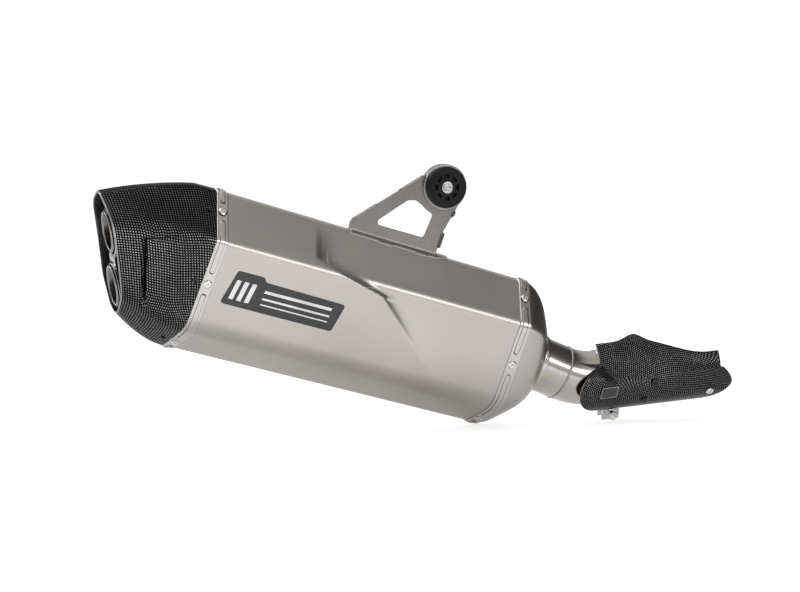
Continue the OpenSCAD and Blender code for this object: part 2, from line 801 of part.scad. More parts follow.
// Outer radius of the lobe at p = [u, angle].
function surface_r(p) =
    lobe_r - lobe_dip(p[0], (p[1] - lobe_low) / (valley_angle(p[0]) - lobe_low));
function bezier(a, b, c, s) = mix(mix(a, b, s), mix(b, c, s), s);
function shield_section(u, a) =
    let (
        va = valley_angle(u),
        dip = valley_dip(u),
        root = lobe_point(va, dip),
        tip = [wing_out(u), wing_top(u)],
        belly = [max(root[0], tip[0]) + 0.9 * dip, mix(root[1], tip[1], 0.45)]
    )
    a < lobe_share
        ? lobe_point(mix(lobe_low, va, a / lobe_share), lobe_dip(u, a / lobe_share))
        : bezier(root, belly, tip, (a - lobe_share) / (1 - lobe_share));
// Rear and front edges of the shield at share a of the section.
function shield_rear(a) =
    a < lobe_share
        ? -34 + 34 * pow(abs(a / lobe_share - 0.55) / 0.52, 2)
        : mix(-6, -13, (a - lobe_share) / (1 - lobe_share));
function shield_front(a) =
    a < lobe_share ? 151 - 33 * pow(abs(a / lobe_share - 0.66) / 0.62, 1.7) : 136.5;
function shield_point(i, a, inset) =
    let (
        u = mix(shield_rear(a), shield_front(a), i),
        p = shield_section(u, a),
        d = unit(shield_section(u, min(a + 0.01, 1)) - shield_section(u, max(a - 0.01, 0))),
        q = p - inset * [d[1], -d[0]]
    )
    [u, -q[0], q[1]];
shield_along = [for (i = [0 : 11]) i / 11];
shield_across = concat([for (j = [0 : 8]) lobe_share * j / 9], [for (j = [0 : 6]) mix(lobe_share, 1, j / 6)]);
// Screw places on the lobe: [u, angle]
boss_places = [[56, -13], [47, -49], [126, -44]];
module at_shield_point(p, r) {
    translate([p[0], 0, 0]) rotate([90 - p[1], 0, 0]) translate([0, 0, r]) children();
}
module heat_shield() {
    color("#17171a") installed() at_bend_end() difference() {
        shell_skin([for (i = shield_along) concat([for (a = shield_across) shield_point(i, a, 0)],
            [for (j = [len(shield_across) - 1 : -1 : 0]) shield_point(i, shield_across[j], shield_t)])]);
        for (p = boss_places) at_shield_point(p, 30) cylinder(h = 14, r = 2.1, $fn = 24);
    }
}
boss_r = 4.5;
spacer_t = 6;                // the front boss is a loose spacer on its screw
head_share = [0, 7];         // [0, angle] that a boss or a screw head covers
module shield_bosses() {
    color("#9d968e") installed() at_bend_end() for (p = boss_places) difference() {
        top = min(surface_r(p), surface_r(p + head_share)) - shield_t - 0.45;
        base = p[0] < link_end ? link_r - weld : top - spacer_t;
        at_shield_point(p, base) cylinder(h = top - base, r = boss_r);
        at_shield_point(p, base - 2) cylinder(h = 14, r = 2 + running);
    }
}
module shield_screw(p) {
    seat = max(surface_r(p), surface_r(p - head_share) * cos(head_share[1])) + 0.15;
    at_shield_point(p, seat) difference() {
        union() {
            translate([0, 0, -7]) cylinder(h = 7.2, r = 2);
            cylinder(h = 2.2, r1 = 4.4, r2 = 2.9);
        }
        translate([0, 0, 1.1]) cylinder(h = 3, r = 1.5, $fn = 6);
    }
}
module shield_screws() {
    color("#2c2c2e") installed() at_bend_end() {
        shield_screw(boss_places[0]);
        shield_screw(boss_places[1]);
    }
}
module shield_front_screw() {
    color("#cfcac3") installed() at_bend_end() shield_screw(boss_places[2]);
}

// ---------------------------------------------------------------- badges
badge_t = 0.6;
module sleeve_badge() {
    color("#121214") rolled() translate([0, -half_width - 0.02, 0]) rotate([90, 0, 0])
        linear_extrude(badge_t) offset(r = 3) offset(delta = -3)
            polygon([[-165, -14], [-36, -14], [-30, 18], [-123, 20], [-127, 25], [-157, 25]]);
}
module shield_badge() {
    color("#121214") installed() at_bend_end() intersection() {
        tube_x(-12, 26, lobe_r + 0.9, lobe_r + 0.1);
        at_shield_point([1, -22], lobe_r) linear_extrude(8, center = true)
            polygon([[-12, -7], [9, -7], [12, 7], [-9, 7]]);
    }
}

outer_sleeve();
rear_band();
front_band();
rear_band_rivets();
front_band_rivets();
inlet_cap();
inlet_collar();
inlet_pipe();
pipe_weld();
bend_pipe();
link_pipe();
clamp_band();
clamp_nut();
clamp_washer();
clamp_screw();
end_cap();
end_cap_rivets();
rear_bulkhead();
outlet_plate();
outlet_pipe_upper();
outlet_pipe_lower();
outlet_trim();
outlet_plate_screw();
perforated_core();
inner_baffle();
front_baffle();
packing();
saddle_plate();
hanger_bracket();
hanger_ring();
rubber_bush();
hanger_sleeve();
heat_shield();
shield_bosses();
shield_screws();
shield_front_screw();
sleeve_badge();
shield_badge();
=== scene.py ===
"""Looks of the exhaust muffler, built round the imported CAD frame.

Local coordinates are the CAD's own, in millimetres: LEVEL is the canister's
level frame, OWN is the rolled canister, START is the inlet pipe's first end,
PIPE follows the link pipe and BORE is the hanger's bore. Each is a matrix into
the row frame in metres.
"""

import math

import bmesh
import bpy
from mathutils import Matrix, Vector


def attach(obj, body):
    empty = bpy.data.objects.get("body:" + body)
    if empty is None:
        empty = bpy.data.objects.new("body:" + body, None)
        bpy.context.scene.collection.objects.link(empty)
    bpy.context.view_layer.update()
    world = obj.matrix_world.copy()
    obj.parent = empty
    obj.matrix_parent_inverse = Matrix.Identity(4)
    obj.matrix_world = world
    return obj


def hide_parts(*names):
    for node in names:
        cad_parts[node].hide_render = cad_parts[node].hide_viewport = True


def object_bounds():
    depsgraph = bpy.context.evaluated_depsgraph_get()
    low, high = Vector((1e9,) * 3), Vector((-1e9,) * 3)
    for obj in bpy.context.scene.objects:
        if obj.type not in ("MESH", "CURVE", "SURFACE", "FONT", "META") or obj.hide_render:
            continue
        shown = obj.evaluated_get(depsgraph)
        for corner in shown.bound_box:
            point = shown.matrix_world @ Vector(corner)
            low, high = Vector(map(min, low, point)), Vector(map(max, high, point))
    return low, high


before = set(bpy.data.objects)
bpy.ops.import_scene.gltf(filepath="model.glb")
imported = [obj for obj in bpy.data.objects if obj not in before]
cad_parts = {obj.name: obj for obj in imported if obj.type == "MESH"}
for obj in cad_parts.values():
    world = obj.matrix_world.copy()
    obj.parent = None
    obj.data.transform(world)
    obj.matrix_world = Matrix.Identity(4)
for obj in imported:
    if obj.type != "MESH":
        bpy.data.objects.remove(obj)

CAD_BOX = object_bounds()

# ------------------------------------------------------------ driving values
MM = 0.001
TILT = 15.7
ROLL = 16.0
HANG = Vector((62.5, -15.0, 152.7))
X_REAR = -191.5
SLEEVE_LENGTH = 375.0
X_FRONT = X_REAR + SLEEVE_LENGTH
HALF_WIDTH = 58.5
RIDGE_Z = 88.0
KEEL_Z = 95.5
RIDGE_DROP = 8.5
SHEET = 1.2
PRESS_DEPTH = 6.0
BAND_WIDTH = 13.0
REAR_RIVET_X = X_REAR + 6.5
FRONT_RIVET_X = X_FRONT - 7.0
CAP_REACH = 122.0
CAP_REACH_LOW = 58.0
CAP_WALL = 1.8
CAP_PROUD = 0.4
CAP_PRESS = 6.0
OUTLET_BORE_R = 17.0
OUTLET_R = OUTLET_BORE_R + 1.2
OUTLET_Z = (13.0, -43.0)
LIP_RECESS = (2.5, 0.5)
LIP_YAW = 0.05
PLATE_RECESS = 20.0
PIPE_R = 30.0
PIPE_WALL = 1.2
COLLAR_Z = -4.5
DOME_LENGTH = 39.0
DOME_TAPER = 1.3
PIPE_DIP = 7.5
STRAIGHT = 37.0
BEND_R = 95.0
BEND_TURN = TILT + PIPE_DIP + 4.0
WEAVE = 2.9          # pitch of the carbon weave
RING_R = 25.0
BUSH_R = 22.5


# ------------------------------------------------------------------- frames
def turn(degrees, axis):
    return Matrix.Rotation(math.radians(degrees), 4, axis)


def shift(x, y, z):
    return Matrix.Translation((x, y, z))


LEVEL = Matrix.Scale(MM, 4) @ turn(TILT, "Y") @ Matrix.Translation(-HANG)
OWN = LEVEL @ turn(ROLL, "X")
START = LEVEL @ shift(X_FRONT + DOME_LENGTH - 3, 0, COLLAR_Z) @ turn(PIPE_DIP, "Y")
BEND_END_X = STRAIGHT + BEND_R * math.sin(math.radians(BEND_TURN))
BEND_END_Z = BEND_R * (1 - math.cos(math.radians(BEND_TURN)))
PIPE = START @ shift(BEND_END_X, 0, BEND_END_Z) @ turn(-BEND_TURN, "Y")
BORE = LEVEL @ Matrix.Translation(HANG) @ turn(90, "X")


# --------------------------------------------------------------- 2D helpers
def mix(a, b, share):
    return a + (b - a) * share


def smooth(value):
    c = min(max(value, 0.0), 1.0)
    return c * c * (3 - 2 * c)


def heading(v):
    return math.atan2(v[1], v[0])


def polar(radius, angle):
    return Vector((radius * math.cos(angle), radius * math.sin(angle)))


def round_corner(before, corner, after, inset, steps):
    """Arc points for one corner (a, b, radius) between its neighbours."""
    point = Vector(corner[:2])
    if corner[2] == 0:
        return [point]
    u = (Vector(before[:2]) - point).normalized()
    v = (Vector(after[:2]) - point).normalized()
    half = math.acos(max(-1.0, min(1.0, u.dot(v)))) / 2
    centre = point + (u + v).normalized() * corner[2] / math.sin(half)
    reach = corner[2] / math.tan(half)
    first = heading(point + u * reach - centre)
    last = heading(point + v * reach - centre)
    sweep = math.remainder(last - first, 2 * math.pi)
    radius = corner[2] - inset
    return [centre + polar(radius, first + sweep * i / steps) for i in range(steps + 1)]


def outline(corners, inset=0.0, steps=8, edges=None):
    """Closed outline with rounded corners. edges[k] adds points from corner k on."""
    count = len(corners)
    arcs = [
        round_corner(corners[k - 1], corners[k], corners[(k + 1) % count], inset, steps)
        for k in range(count)
    ]
    points = []
    for k, arc in enumerate(arcs):
        points += arc
        extra = edges[k] if edges else 0
        after = arcs[(k + 1) % count][0]
        points += [arc[-1].lerp(after, i / (extra + 1)) for i in range(1, extra + 1)]
    return points


def loop_lengths(points):
    """Length along a closed loop up to each point, and at the end all the way round."""
    lengths = [0.0]
    for a, b in zip(points, points[1:] + points[:1]):
        lengths.append(lengths[-1] + (Vector(b) - Vector(a)).length)
    return lengths


def even_loop(points, count):
    """The closed loop through the points with evenly spaced ones."""
    lengths = loop_lengths(points)
    loop = []
    k = 0
    for i in range(count):
        at = lengths[-1] * i / count
        while lengths[k + 1] < at:
            k += 1
        share = (at - lengths[k]) / max(lengths[k + 1] - lengths[k], 1e-9)
        loop.append(points[k].lerp(points[(k + 1) % len(points)], share))
    return loop


def left_normals(loop, span=1):
    """Unit normal at each point, to the left of the way round."""
    count = len(loop)
    normals = []
    for i in range(count):
        run = (loop[(i + span) % count] - loop[i - span]).normalized()
        normals.append(Vector((-run.y, run.x)))
    return normals


def moved_in(loop, distance):
    """Anticlockwise loop moved to its inner side."""
    return [p + n * distance for p, n in zip(loop, left_normals(loop))]


# ------------------------------------------------------------------- meshes
def meshed(name, bm):
    """The finished mesh of a bmesh, with its faces turned outwards."""
    bmesh.ops.recalc_face_normals(bm, faces=bm.faces)
    mesh = bpy.data.meshes.new(name)
    bm.to_mesh(mesh)
    bm.free()
    return mesh


def loft(name, rings, place, wrap=False, around=True, cell=0.0, start=0, ends=False):
    """Mesh through rings of points, which place takes into the row frame.

    wrap joins the last ring to the first and around closes each ring. ends
    closes the first and last ring: True with one face, "strip" by joining the
    ring's two halves, for a thin shell. cell > 0 makes a UV map in units of
    that many millimetres, counted from point `start` of each ring.
    """
    bm = bmesh.new()
    grid = [[bm.verts.new(place @ Vector(p)) for p in ring] for ring in rings]
    rows, columns = len(rings), len(rings[0])
    layer = bm.loops.layers.uv.new("weave") if cell else None
    if cell:
        across = []
        for ring in rings:
            run = loop_lengths(ring)
            across.append([(r - run[start]) / cell for r in run])
        along = [[0.0] * (columns + 1)]
        for i in range(1, rows):
            steps = [
                (Vector(rings[i][j % columns]) - Vector(rings[i - 1][j % columns])).length
                for j in range(columns + 1)
            ]
            along.append([a + s / cell for a, s in zip(along[-1], steps)])
    for i in range(rows if wrap else rows - 1):
        for j in range(columns if around else columns - 1):
            corners = [(i, j), (i, j + 1), (i + 1, j + 1), (i + 1, j)]
            face = bm.faces.new([grid[a % rows][b % columns] for a, b in corners])
            if cell:
                for loop, (a, b) in zip(face.loops, corners):
                    loop[layer].uv = (across[a % rows][b], along[a % rows][b])
    for ring in (grid[0], grid[-1]) if ends else ():
        if ends == "strip":
            for j in range(columns // 2 - 1):
                bm.faces.new([ring[j], ring[j + 1], ring[-2 - j], ring[-1 - j]])
        else:
            bm.faces.new(ring)
    return meshed(name, bm)


def spun(name, profile, place, steps, point):
    """Carries a closed profile round; point(x, r, angle) places each of its points."""
    angles = [2 * math.pi * k / steps for k in range(steps)]
    rings = [[point(x, r, angle) for x, r in profile] for angle in angles]
    return loft(name, rings, place, wrap=True)


def lathe(name, profile, place, steps=96, bump=None):
    """Turns a closed profile of (x, r) about the local X axis. bump adds to the radius."""
    def point(x, r, angle):
        radius = r + (bump(x, r, angle) if bump else 0.0)
        return (x, radius * math.cos(angle), radius * math.sin(angle))

    return spun(name, profile, place, steps, point)


def joined(name, meshes):
    """One mesh from several, which are used up."""
    bm = bmesh.new()
    for mesh in meshes:
        bm.from_mesh(mesh)
        bpy.data.meshes.remove(mesh)
    result = bpy.data.meshes.new(name)
    bm.to_mesh(result)
    bm.free()
    return result


def add_object(name, data):
    obj = bpy.data.objects.new(name, data)
    bpy.context.scene.collection.objects.link(obj)
    return obj


def piece(name, mesh, looks, node, sharp=35.0, part=None, body="root"):
    """Puts a mesh on a CAD body as the stand-in for a node.

    part(index) gives the number of a face's look.
    """
    mesh.materials.clear()
    for look in looks if isinstance(looks, list) else [looks]:
        mesh.materials.append(look.material)
    if part:
        parts = [int(part(index)) for index in range(len(mesh.polygons))]
        mesh.polygons.foreach_set("material_index", parts)
    mesh.shade_smooth()
    mesh.set_sharp_from_angle(angle=math.radians(sharp))
    obj = add_object(name, mesh)
    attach(obj, body)
    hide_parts(node)


# ---------------------------------------------------------------- materials
class Nodes:
    """Short ways to add and join the nodes of a tree."""

    def __init__(self, tree):
        self.tree = tree

    def give(self, socket, value):
        if isinstance(value, bpy.types.NodeSocket):
            self.tree.links.new(value, socket)
        else:
            socket.default_value = value

    def add(self, kind, inputs=None, **settings):
        made = self.tree.nodes.new("ShaderNode" + kind)
        for key, value in settings.items():
            setattr(made, key, value)
        for key, value in (inputs or {}).items():
            self.give(made.inputs[key], value)
        return made

    def math(self, operation, *values):
        return self.add("Math", dict(enumerate(values)), operation=operation).outputs[0]

    def place(self, scale=(1, 1, 1)):
        source = self.add("TexCoord").outputs["Object"]
        return self.add("Mapping", {"Vector": source, "Scale": scale}).outputs[0]

    def noise(self, vector, scale, detail=3.0, roughness=0.5):
        inputs = {"Vector": vector, "Scale": scale, "Detail": detail, "Roughness": roughness}
        return self.add("TexNoise", inputs).outputs["Fac"]

    def ramp(self, value, low, high, out_low=0.0, out_high=1.0):
        inputs = {
            "Value": value, "From Min": low, "From Max": high,
            "To Min": out_low, "To Max": out_high,
        }
        return self.add("MapRange", inputs, interpolation_type="SMOOTHSTEP").outputs[0]

    def blend(self, share, a, b):
        made = self.add("Mix", data_type="RGBA")
        for key, value in (("Factor_Float", share), ("A_Color", a), ("B_Color", b)):
            socket = next(s for s in made.inputs if s.identifier == key)
            self.give(socket, value)
        return next(s for s in made.outputs if s.identifier == "Result_Color")


class Look(Nodes):
    """A material that starts as one plain shader."""

    def __init__(self, name, color, metallic=0.0, roughness=0.5, coat=0.0):
        self.material = bpy.data.materials.new(name)
        self.material.use_nodes = True
        super().__init__(self.material.node_tree)
        self.shader = self.tree.nodes["Principled BSDF"]
        self.set("Base Color", (*color, 1))
        self.set("Metallic", metallic)
        self.set("Roughness", roughness)
        self.set("Coat Weight", coat)
        self.set("Coat Roughness", 0.06)

    def set(self, socket, value, shader=None):
        self.give((shader or self.shader).inputs[socket], value)

    def bump(self, height, distance, strength=1.0):
        made = self.add("Bump", {"Height": height, "Distance": distance, "Strength": strength})
        self.set("Normal", made.outputs[0])
        return made.outputs[0]


def metal(name, light, dark, roughness, grain=0.25, stretch=(1, 1, 1), scale=900.0, mottle=9.0):
    """Metal with a fine grain, a slow drift of tone, and worn roughness."""
    look = Look(name, light, 1.0, roughness)
    wide = look.noise(look.place(), mottle, 4.0)
    fine = look.noise(look.place(stretch), scale, 2.0, 0.6)
    tone = look.blend(look.ramp(wide, 0.3, 0.7), (*dark, 1), (*light, 1))
    look.set("Base Color", tone)
    spread = look.math("MULTIPLY_ADD", fine, 0.14, roughness - 0.07)
    look.set("Roughness", look.math("MULTIPLY_ADD", wide, 0.06, look.math("SUBTRACT", spread, 0.03)))
    look.bump(fine, 0.00003, grain)
    return look


def carbon(name, shine):
    """Lacquered carbon fibre: small pale checks of weft on black, with painted shade that dims the checks
    where the surface faces up.
    """
    look = Look(name, (0.002, 0.002, 0.0022), 0.0, 0.20, 0.07)
    look.set("Specular IOR Level", 0.06)
    uv = look.add("UVMap", uv_map="weave").outputs[0]
    split = look.add("SeparateXYZ", {"Vector": uv})
    halves = []
    cells = []
    for k in (0, 1):
        value = split.outputs[k]
        halves.append(look.math("ABSOLUTE", look.math("SUBTRACT", look.math("FRACT", value), 0.5)))
        cells.append(look.math("FLOOR", value))
    check = look.ramp(look.math("MAXIMUM", *halves), 0.12, 0.27, 1.0, 0.0)
    cell = look.add("CombineXYZ", {"X": cells[0], "Y": cells[1]}).outputs[0]
    random = look.add("TexWhiteNoise", {"Vector": cell}, noise_dimensions="3D").outputs["Value"]
    patch = look.ramp(look.noise(look.place(), 14.0, 2.0), 0.3, 0.7, 0.6, 1.0)
    lively = look.math("MULTIPLY", patch, look.math("MULTIPLY_ADD", random, 0.4, 0.6))
    # Painted shade: the weft checks fade out where the surface faces up.
    upward = look.add("SeparateXYZ", {"Vector": look.add("NewGeometry").outputs["Normal"]}).outputs[2]
    lively = look.math("MULTIPLY", lively, look.ramp(upward, 0.30, 0.95, 1.0, 0.05))
    share = look.math("MULTIPLY", check, lively)
    weft = look.add("BsdfPrincipled", {
        "Base Color": (shine, shine, shine * 1.01, 1), "Metallic": 1.0, "Roughness": 0.24,
    })
    tow = look.math("SUBTRACT", check, look.math("MULTIPLY", halves[0], 0.5))
    normal = look.bump(tow, 0.00012, 0.5)
    look.set("Normal", normal, weft)
    both = look.add("MixShader", {"Fac": share})
    look.tree.links.new(look.shader.outputs[0], both.inputs[1])
    look.tree.links.new(weft.outputs[0], both.inputs[2])
    end = look.tree.nodes["Material Output"]
    look.tree.links.new(both.outputs[0], end.inputs["Surface"])
    return look


def plain(name, color, roughness, metallic=0.0, coat=0.0, scale=600.0, grain=0.3, depth=0.00004):
    """Paint, rubber or moulded plastic with a fine surface grain."""
    look = Look(name, color, metallic, roughness, coat)
    fine = look.noise(look.place(), scale, 3.0)
    wide = look.noise(look.place(), 30.0, 3.0)
    lighter = tuple(min(1.0, c * 1.5 + 0.004) for c in color)
    look.set("Base Color", look.blend(look.ramp(wide, 0.35, 0.7), (*color, 1), (*lighter, 1)))
    look.set("Roughness", look.math("MULTIPLY_ADD", fine, 0.2, roughness - 0.1))
    look.bump(fine, depth, grain)
    return look


def heat_tinted(name, light, straw, roughness):
    """Polished tube that turns from straw to grey along the pipe."""
    look = metal(name, light, tuple(0.86 * c for c in light), roughness, 0.1, (1, 1, 1), 500.0, 25.0)
    stain = look.noise(look.place((6, 30, 30)), 4.0, 5.0)
    old = look.shader.inputs["Base Color"].links[0].from_socket
    look.set("Base Color", look.blend(look.ramp(stain, 0.5, 0.8, 0.0, 0.7), old, (*straw, 1)))
    return look


TITANIUM = metal("titanium_sheet", (0.60, 0.565, 0.53), (0.55, 0.518, 0.486), 0.34, 0.35)
DOME = metal("titanium_pressing", (0.56, 0.53, 0.50), (0.50, 0.472, 0.445), 0.28, 0.25)
STEEL = metal("band_steel", (0.66, 0.64, 0.615), (0.58, 0.565, 0.545), 0.17, 0.15)
# Near-black look for the bands' pad walls: painted shade along the pads' edges.
PAD_WALL_SHADE = plain("pad_wall_painted_shade", (0.07, 0.068, 0.066), 0.4, 0.7)
PLATE_STEEL = metal("bracket_steel", (0.36, 0.345, 0.33), (0.30, 0.287, 0.275), 0.24, 0.3)
RIVET = metal("rivet_steel", (0.86, 0.845, 0.825), (0.74, 0.725, 0.705), 0.14, 0.15)
TUBE = heat_tinted("polished_tube", (0.60, 0.57, 0.54), (0.56, 0.47, 0.36), 0.15)
WELD = metal("weld_bead", (0.52, 0.49, 0.47), (0.36, 0.35, 0.36), 0.30, 0.5, mottle=60.0)
DARK_STEEL = metal("outlet_steel", (0.34, 0.325, 0.31), (0.22, 0.21, 0.20), 0.24, 0.3, (8, 1, 1))
LIP_STEEL = metal("lip_steel", (0.42, 0.41, 0.40), (0.34, 0.33, 0.32), 0.13, 0.1)
INNER_STEEL = metal("inner_steel", (0.50, 0.48, 0.46), (0.40, 0.385, 0.37), 0.38, 0.3)
CARBON = carbon("carbon_weave", 0.70)
# Darker copy of the carbon weave for the heat shield: painted shade.
SHADED_SHIELD_CARBON = carbon("shield_weave", 0.46)
# Pale grey look: a painted highlight along the end cap's rim and the shield's edges, and the shield badge's
# border line.
EDGE_HIGHLIGHT_AND_BORDER = plain("carbon_edge_highlight_and_border", (0.30, 0.30, 0.31), 0.25, 0.6, 0.6)
LINING = plain("cap_lining", (0.20, 0.20, 0.204), 0.24, 0.8)
BLACK_STEEL = plain("black_screw", (0.018, 0.018, 0.019), 0.32, 0.5, 0.2)
BLACK_PAINT = plain("black_paint", (0.012, 0.012, 0.013), 0.55)
RUBBER = plain("rubber", (0.006, 0.006, 0.006), 0.36, scale=450.0, grain=0.5)
RUBBER.set("Specular IOR Level", 0.2)
ENAMEL = plain("badge_enamel", (0.008, 0.008, 0.009), 0.18, 0.0, 0.6)
STRIPE = plain("badge_stripe", (0.78, 0.78, 0.78), 0.35)
WOOL = plain("glass_wool", (0.66, 0.60, 0.42), 0.9, scale=250.0, grain=1.0, depth=0.0008)


# ------------------------------------------------------- canister section
ARC = 9                 # steps of each rounded corner
EDGES = [2, 9, 15, 9, 9, 46, 22]    # points added after each corner
SHOULDER_START = 6 * (ARC + 1) + sum(EDGES[:6])
RIDGE_HALF = 5          # half width of the flat along the ridge
RIDGE_R = 8
SHOULDER_Z = 50.5
SHOULDER_DROP = 3.5
SHOULDER_IN = 5.5       # how far the far shoulder moves in towards the front
SHOULDER_R = 9
SHOULDER_R_GAIN = 3
HIP_Z = -50
HIP_R = 32
KEEL_R = 20


def section_corners(x):
    """Corners (y, z, radius) of the section at x, from the ridge round by the far side."""
    s = (x - X_REAR) / SLEEVE_LENGTH
    top = RIDGE_Z - RIDGE_DROP * s
    shoulder_z = SHOULDER_Z - SHOULDER_DROP * s
    shoulder_r = SHOULDER_R + SHOULDER_R_GAIN * s
    hip = HALF_WIDTH - s
    return [
        (-RIDGE_HALF, top, RIDGE_R), (RIDGE_HALF, top, RIDGE_R),
        (HALF_WIDTH - SHOULDER_IN * s, shoulder_z, shoulder_r),
        (hip, HIP_Z, HIP_R), (0, -KEEL_Z - 2 + 3.5 * s, KEEL_R),
        (-hip, HIP_Z, HIP_R), (-HALF_WIDTH, shoulder_z, shoulder_r),
    ]


STEP_X = 3              # bend of the diagonal step's line, and its height
STEP_Z = 38
STEP_RUN = 30           # length over which the recess reaches its depth
PRESS_LOW = -45         # the recess deepens upwards between these heights
PRESS_HIGH = 47
PRESS_TOP = 57          # above this the recess no longer changes


def step_x(z):
    """Where the step starts at height z: flatter above the bend, steeper below it."""
    return STEP_X - 4.2 * (z - STEP_Z) if z > STEP_Z else STEP_X + (STEP_Z - z) / 0.83


def press(x, z):
    """Depth of the pressed recess: a crisp start that eases out forward."""
    run = (x - step_x(z)) / STEP_RUN
    ease = smooth(run * 4) * (1 - (1 - min(max(run, 0), 1)) ** 2.4) if run > 0 else 0.0
    return PRESS_DEPTH * smooth((z - PRESS_LOW) / (PRESS_HIGH - PRESS_LOW)) * ease


def pressed(x, p):
    """The near side moves in with the recess, less and less towards the ridge."""
    share = min(max((-p[0] - 9) / 42, 0), 1)
    return Vector((p[0] + share * press(x, min(p[1], PRESS_TOP)), p[1]))


def sleeve_points(x, inset):
    return [pressed(x, p) for p in outline(section_corners(x), inset, ARC, EDGES)]


def sleeve_ring(x, inset):
    return [(x, p[0], p[1]) for p in sleeve_points(x, inset)]


def shell(name, outer, inner, place, cell=0.0, start=0):
    """Closed shell: out along the outer rings and back along the inner ones."""
    return loft(name, outer + inner[::-1], place, wrap=True, cell=cell, start=start)


def build_sleeve():
    stations = [X_REAR + 0.3 + (SLEEVE_LENGTH - 0.6) * i / 150 for i in range(151)]
    mesh = shell(
        "sleeve", [sleeve_ring(x, 0) for x in stations],
        [sleeve_ring(x, SHEET) for x in stations[::10]], OWN)
    piece("sleeve_skin", mesh, TITANIUM, "outer_sleeve")


# --------------------------------------------------------- panels and rivets
SIDE_SHARE = 0.48
RIDGE_SHARE = 0.42


def panel_spots(x):
    """Centre and outward angle of each rivet round the section at x."""
    c = section_corners(x)
    shoulder = Vector((c[6][0] + press(x, c[6][1] + 3), c[6][1] + 3))
    middle = mix(c[5][1], c[6][1], 1 - SIDE_SHARE)
    side_y = mix(c[5][0], c[6][0], 0.5)
    low = pressed(x, Vector((side_y, middle - 8)))
    high = pressed(x, Vector((side_y, middle + 8)))
    flat = [Vector(k[:2]) for k in c]
    panels = [
        (shoulder, flat[0], 1 - RIDGE_SHARE), (low, high, 0.5), (flat[4], flat[5], RIDGE_SHARE),
        (flat[1], flat[2], RIDGE_SHARE), (flat[2], flat[3], SIDE_SHARE),
        (flat[3], flat[4], 1 - RIDGE_SHARE),
    ]
    return [(a.lerp(b, share), heading(a - b) + math.pi) for a, b, share in panels]


def on_panel(x, spot, angle):
    """Frame on a panel whose local Y points outwards."""
    return OWN @ shift(x, spot[0], spot[1]) @ Matrix.Rotation(angle, 4, "X")


def turned_up(place):
    """Lets a lathe's X axis point out of a panel, along its +Z."""
    return place @ turn(-90, "Y")


def head_profile(base, height, rim, crown, hole, depth, shank):
    """Rivet or button head as (height, radius), hollow in the middle."""
    return outline([
        (-shank, 0.03, 0), (-shank, hole + 0.8, 0), (base, hole + 0.8, 0),
        (base, rim, 0.15), (base + height * 0.35, rim, 0.4),
        (base + height, crown, 0.5), (base + height, hole, 0.25),
        (base + height - depth, hole * 0.9, 0), (base + height - depth, 0.03, 0),
    ], steps=4)


def build_rivets(name, x, node, base, sizes, look, shift_x=0.0):
    meshes = []
    for k, (spot, angle) in enumerate(panel_spots(x)):
        place = turned_up(on_panel(x + shift_x, spot, angle))
        meshes.append(lathe(f"{name}_{k}", head_profile(base, *sizes), place, 40))
    piece(name, joined(name, meshes), look, node)


# -------------------------------------------------------------------- bands
BAND_GAP = 0.25
BAND_T = 1.0
PAD_T = 0.75
PAD_HALF = 2.75
PAD_CLEAR = 12.0
# Height, rim, crown and hole radius, hole depth and shank of a band rivet.
RIVET_SIZES = (1.4, 4.8, 3.4, 1.5, 1.6, 4.0)
RIVET_BASE = BAND_GAP + BAND_T + 0.12
CAP_RIVET_SIZES = (0.9, 2.9, 2.2, 1.0, 0.9, 4.5)
CAP_RIVET_BASE = 0.5
CAP_RIVET_BACK = -7.5   # along X from the sleeve's rear end


def build_band(name, node, x0, rivet_x):
    """Band with raised pads that end in round tips on both sides of a rivet; the pads' walls are painted
    near-black as shade.
    """
    middle = x0 + BAND_WIDTH / 2
    around = 560
    base = sleeve_points(middle, -BAND_GAP)
    total = loop_lengths(base)[-1]
    even = even_loop(base, around)
    normals = left_normals(even, 2)
    rivets = []
    for spot, _ in panel_spots(rivet_x):
        near = min(range(around), key=lambda i: (even[i] - spot).length)
        rivets.append(total * near / around)

    def raised(offset, at):
        away = min(abs(math.remainder(at - r, total)) for r in rivets)
        past = max(0.0, PAD_CLEAR + PAD_HALF - away)
        reach = math.hypot(offset - (rivet_x - x0), past)
        return PAD_T * smooth((PAD_HALF + 0.3 - reach) / 0.6)

    across = [0.0, 0.12, 0.35] + [0.7 + 0.4 * i for i in range(30)] + [12.65, 12.88, BAND_WIDTH]
    rings = []
    for offset in across:
        edge = min(offset, BAND_WIDTH - offset)
        height = BAND_T * math.sqrt(1 - (1 - min(edge / 0.7, 1)) ** 2)
        ring = []
        for i in range(around):
            up = height + raised(offset, total * i / around)
            p = even[i] + normals[i] * max(up, 0.02)
            ring.append((x0 + offset, p.x, p.y))
        rings.append(ring)
    inner = [[(x0 + offset, p.x, p.y) for p in even] for offset in (BAND_WIDTH, 0.0)]
    mesh = loft(name, rings + inner, OWN, wrap=True)

    # Faces on the pads' walls, which take the near-black look as painted shade.
    def pad_wall_painted_shade(index):
        row, i = divmod(index, around)
        if row >= len(across) - 1:
            return False
        ends = [raised(across[row + k], total * (i + k) / around) for k in (0, 1)]
        return abs(ends[0] - ends[1]) > 0.2 * PAD_T

    piece(name, mesh, [STEEL, PAD_WALL_SHADE], node, 50.0, pad_wall_painted_shade)


# ------------------------------------------------------------------ end cap
FACE_SLANT = (CAP_REACH - CAP_REACH_LOW) / 130
FACE_YAW = 0.12
FACE_TOP = 52.0
FACE_BOW = 2.0
RIDGE_HOLD = 0.16
SHOULDER_SOFT = 22.0
# The side's hollow in shares of the way to the face, with a deeper slot before its end.
HOLLOW_START = 0.06
HOLLOW_END = 0.70
SLOT_START = 0.64
SLOT_SHARE = 0.55
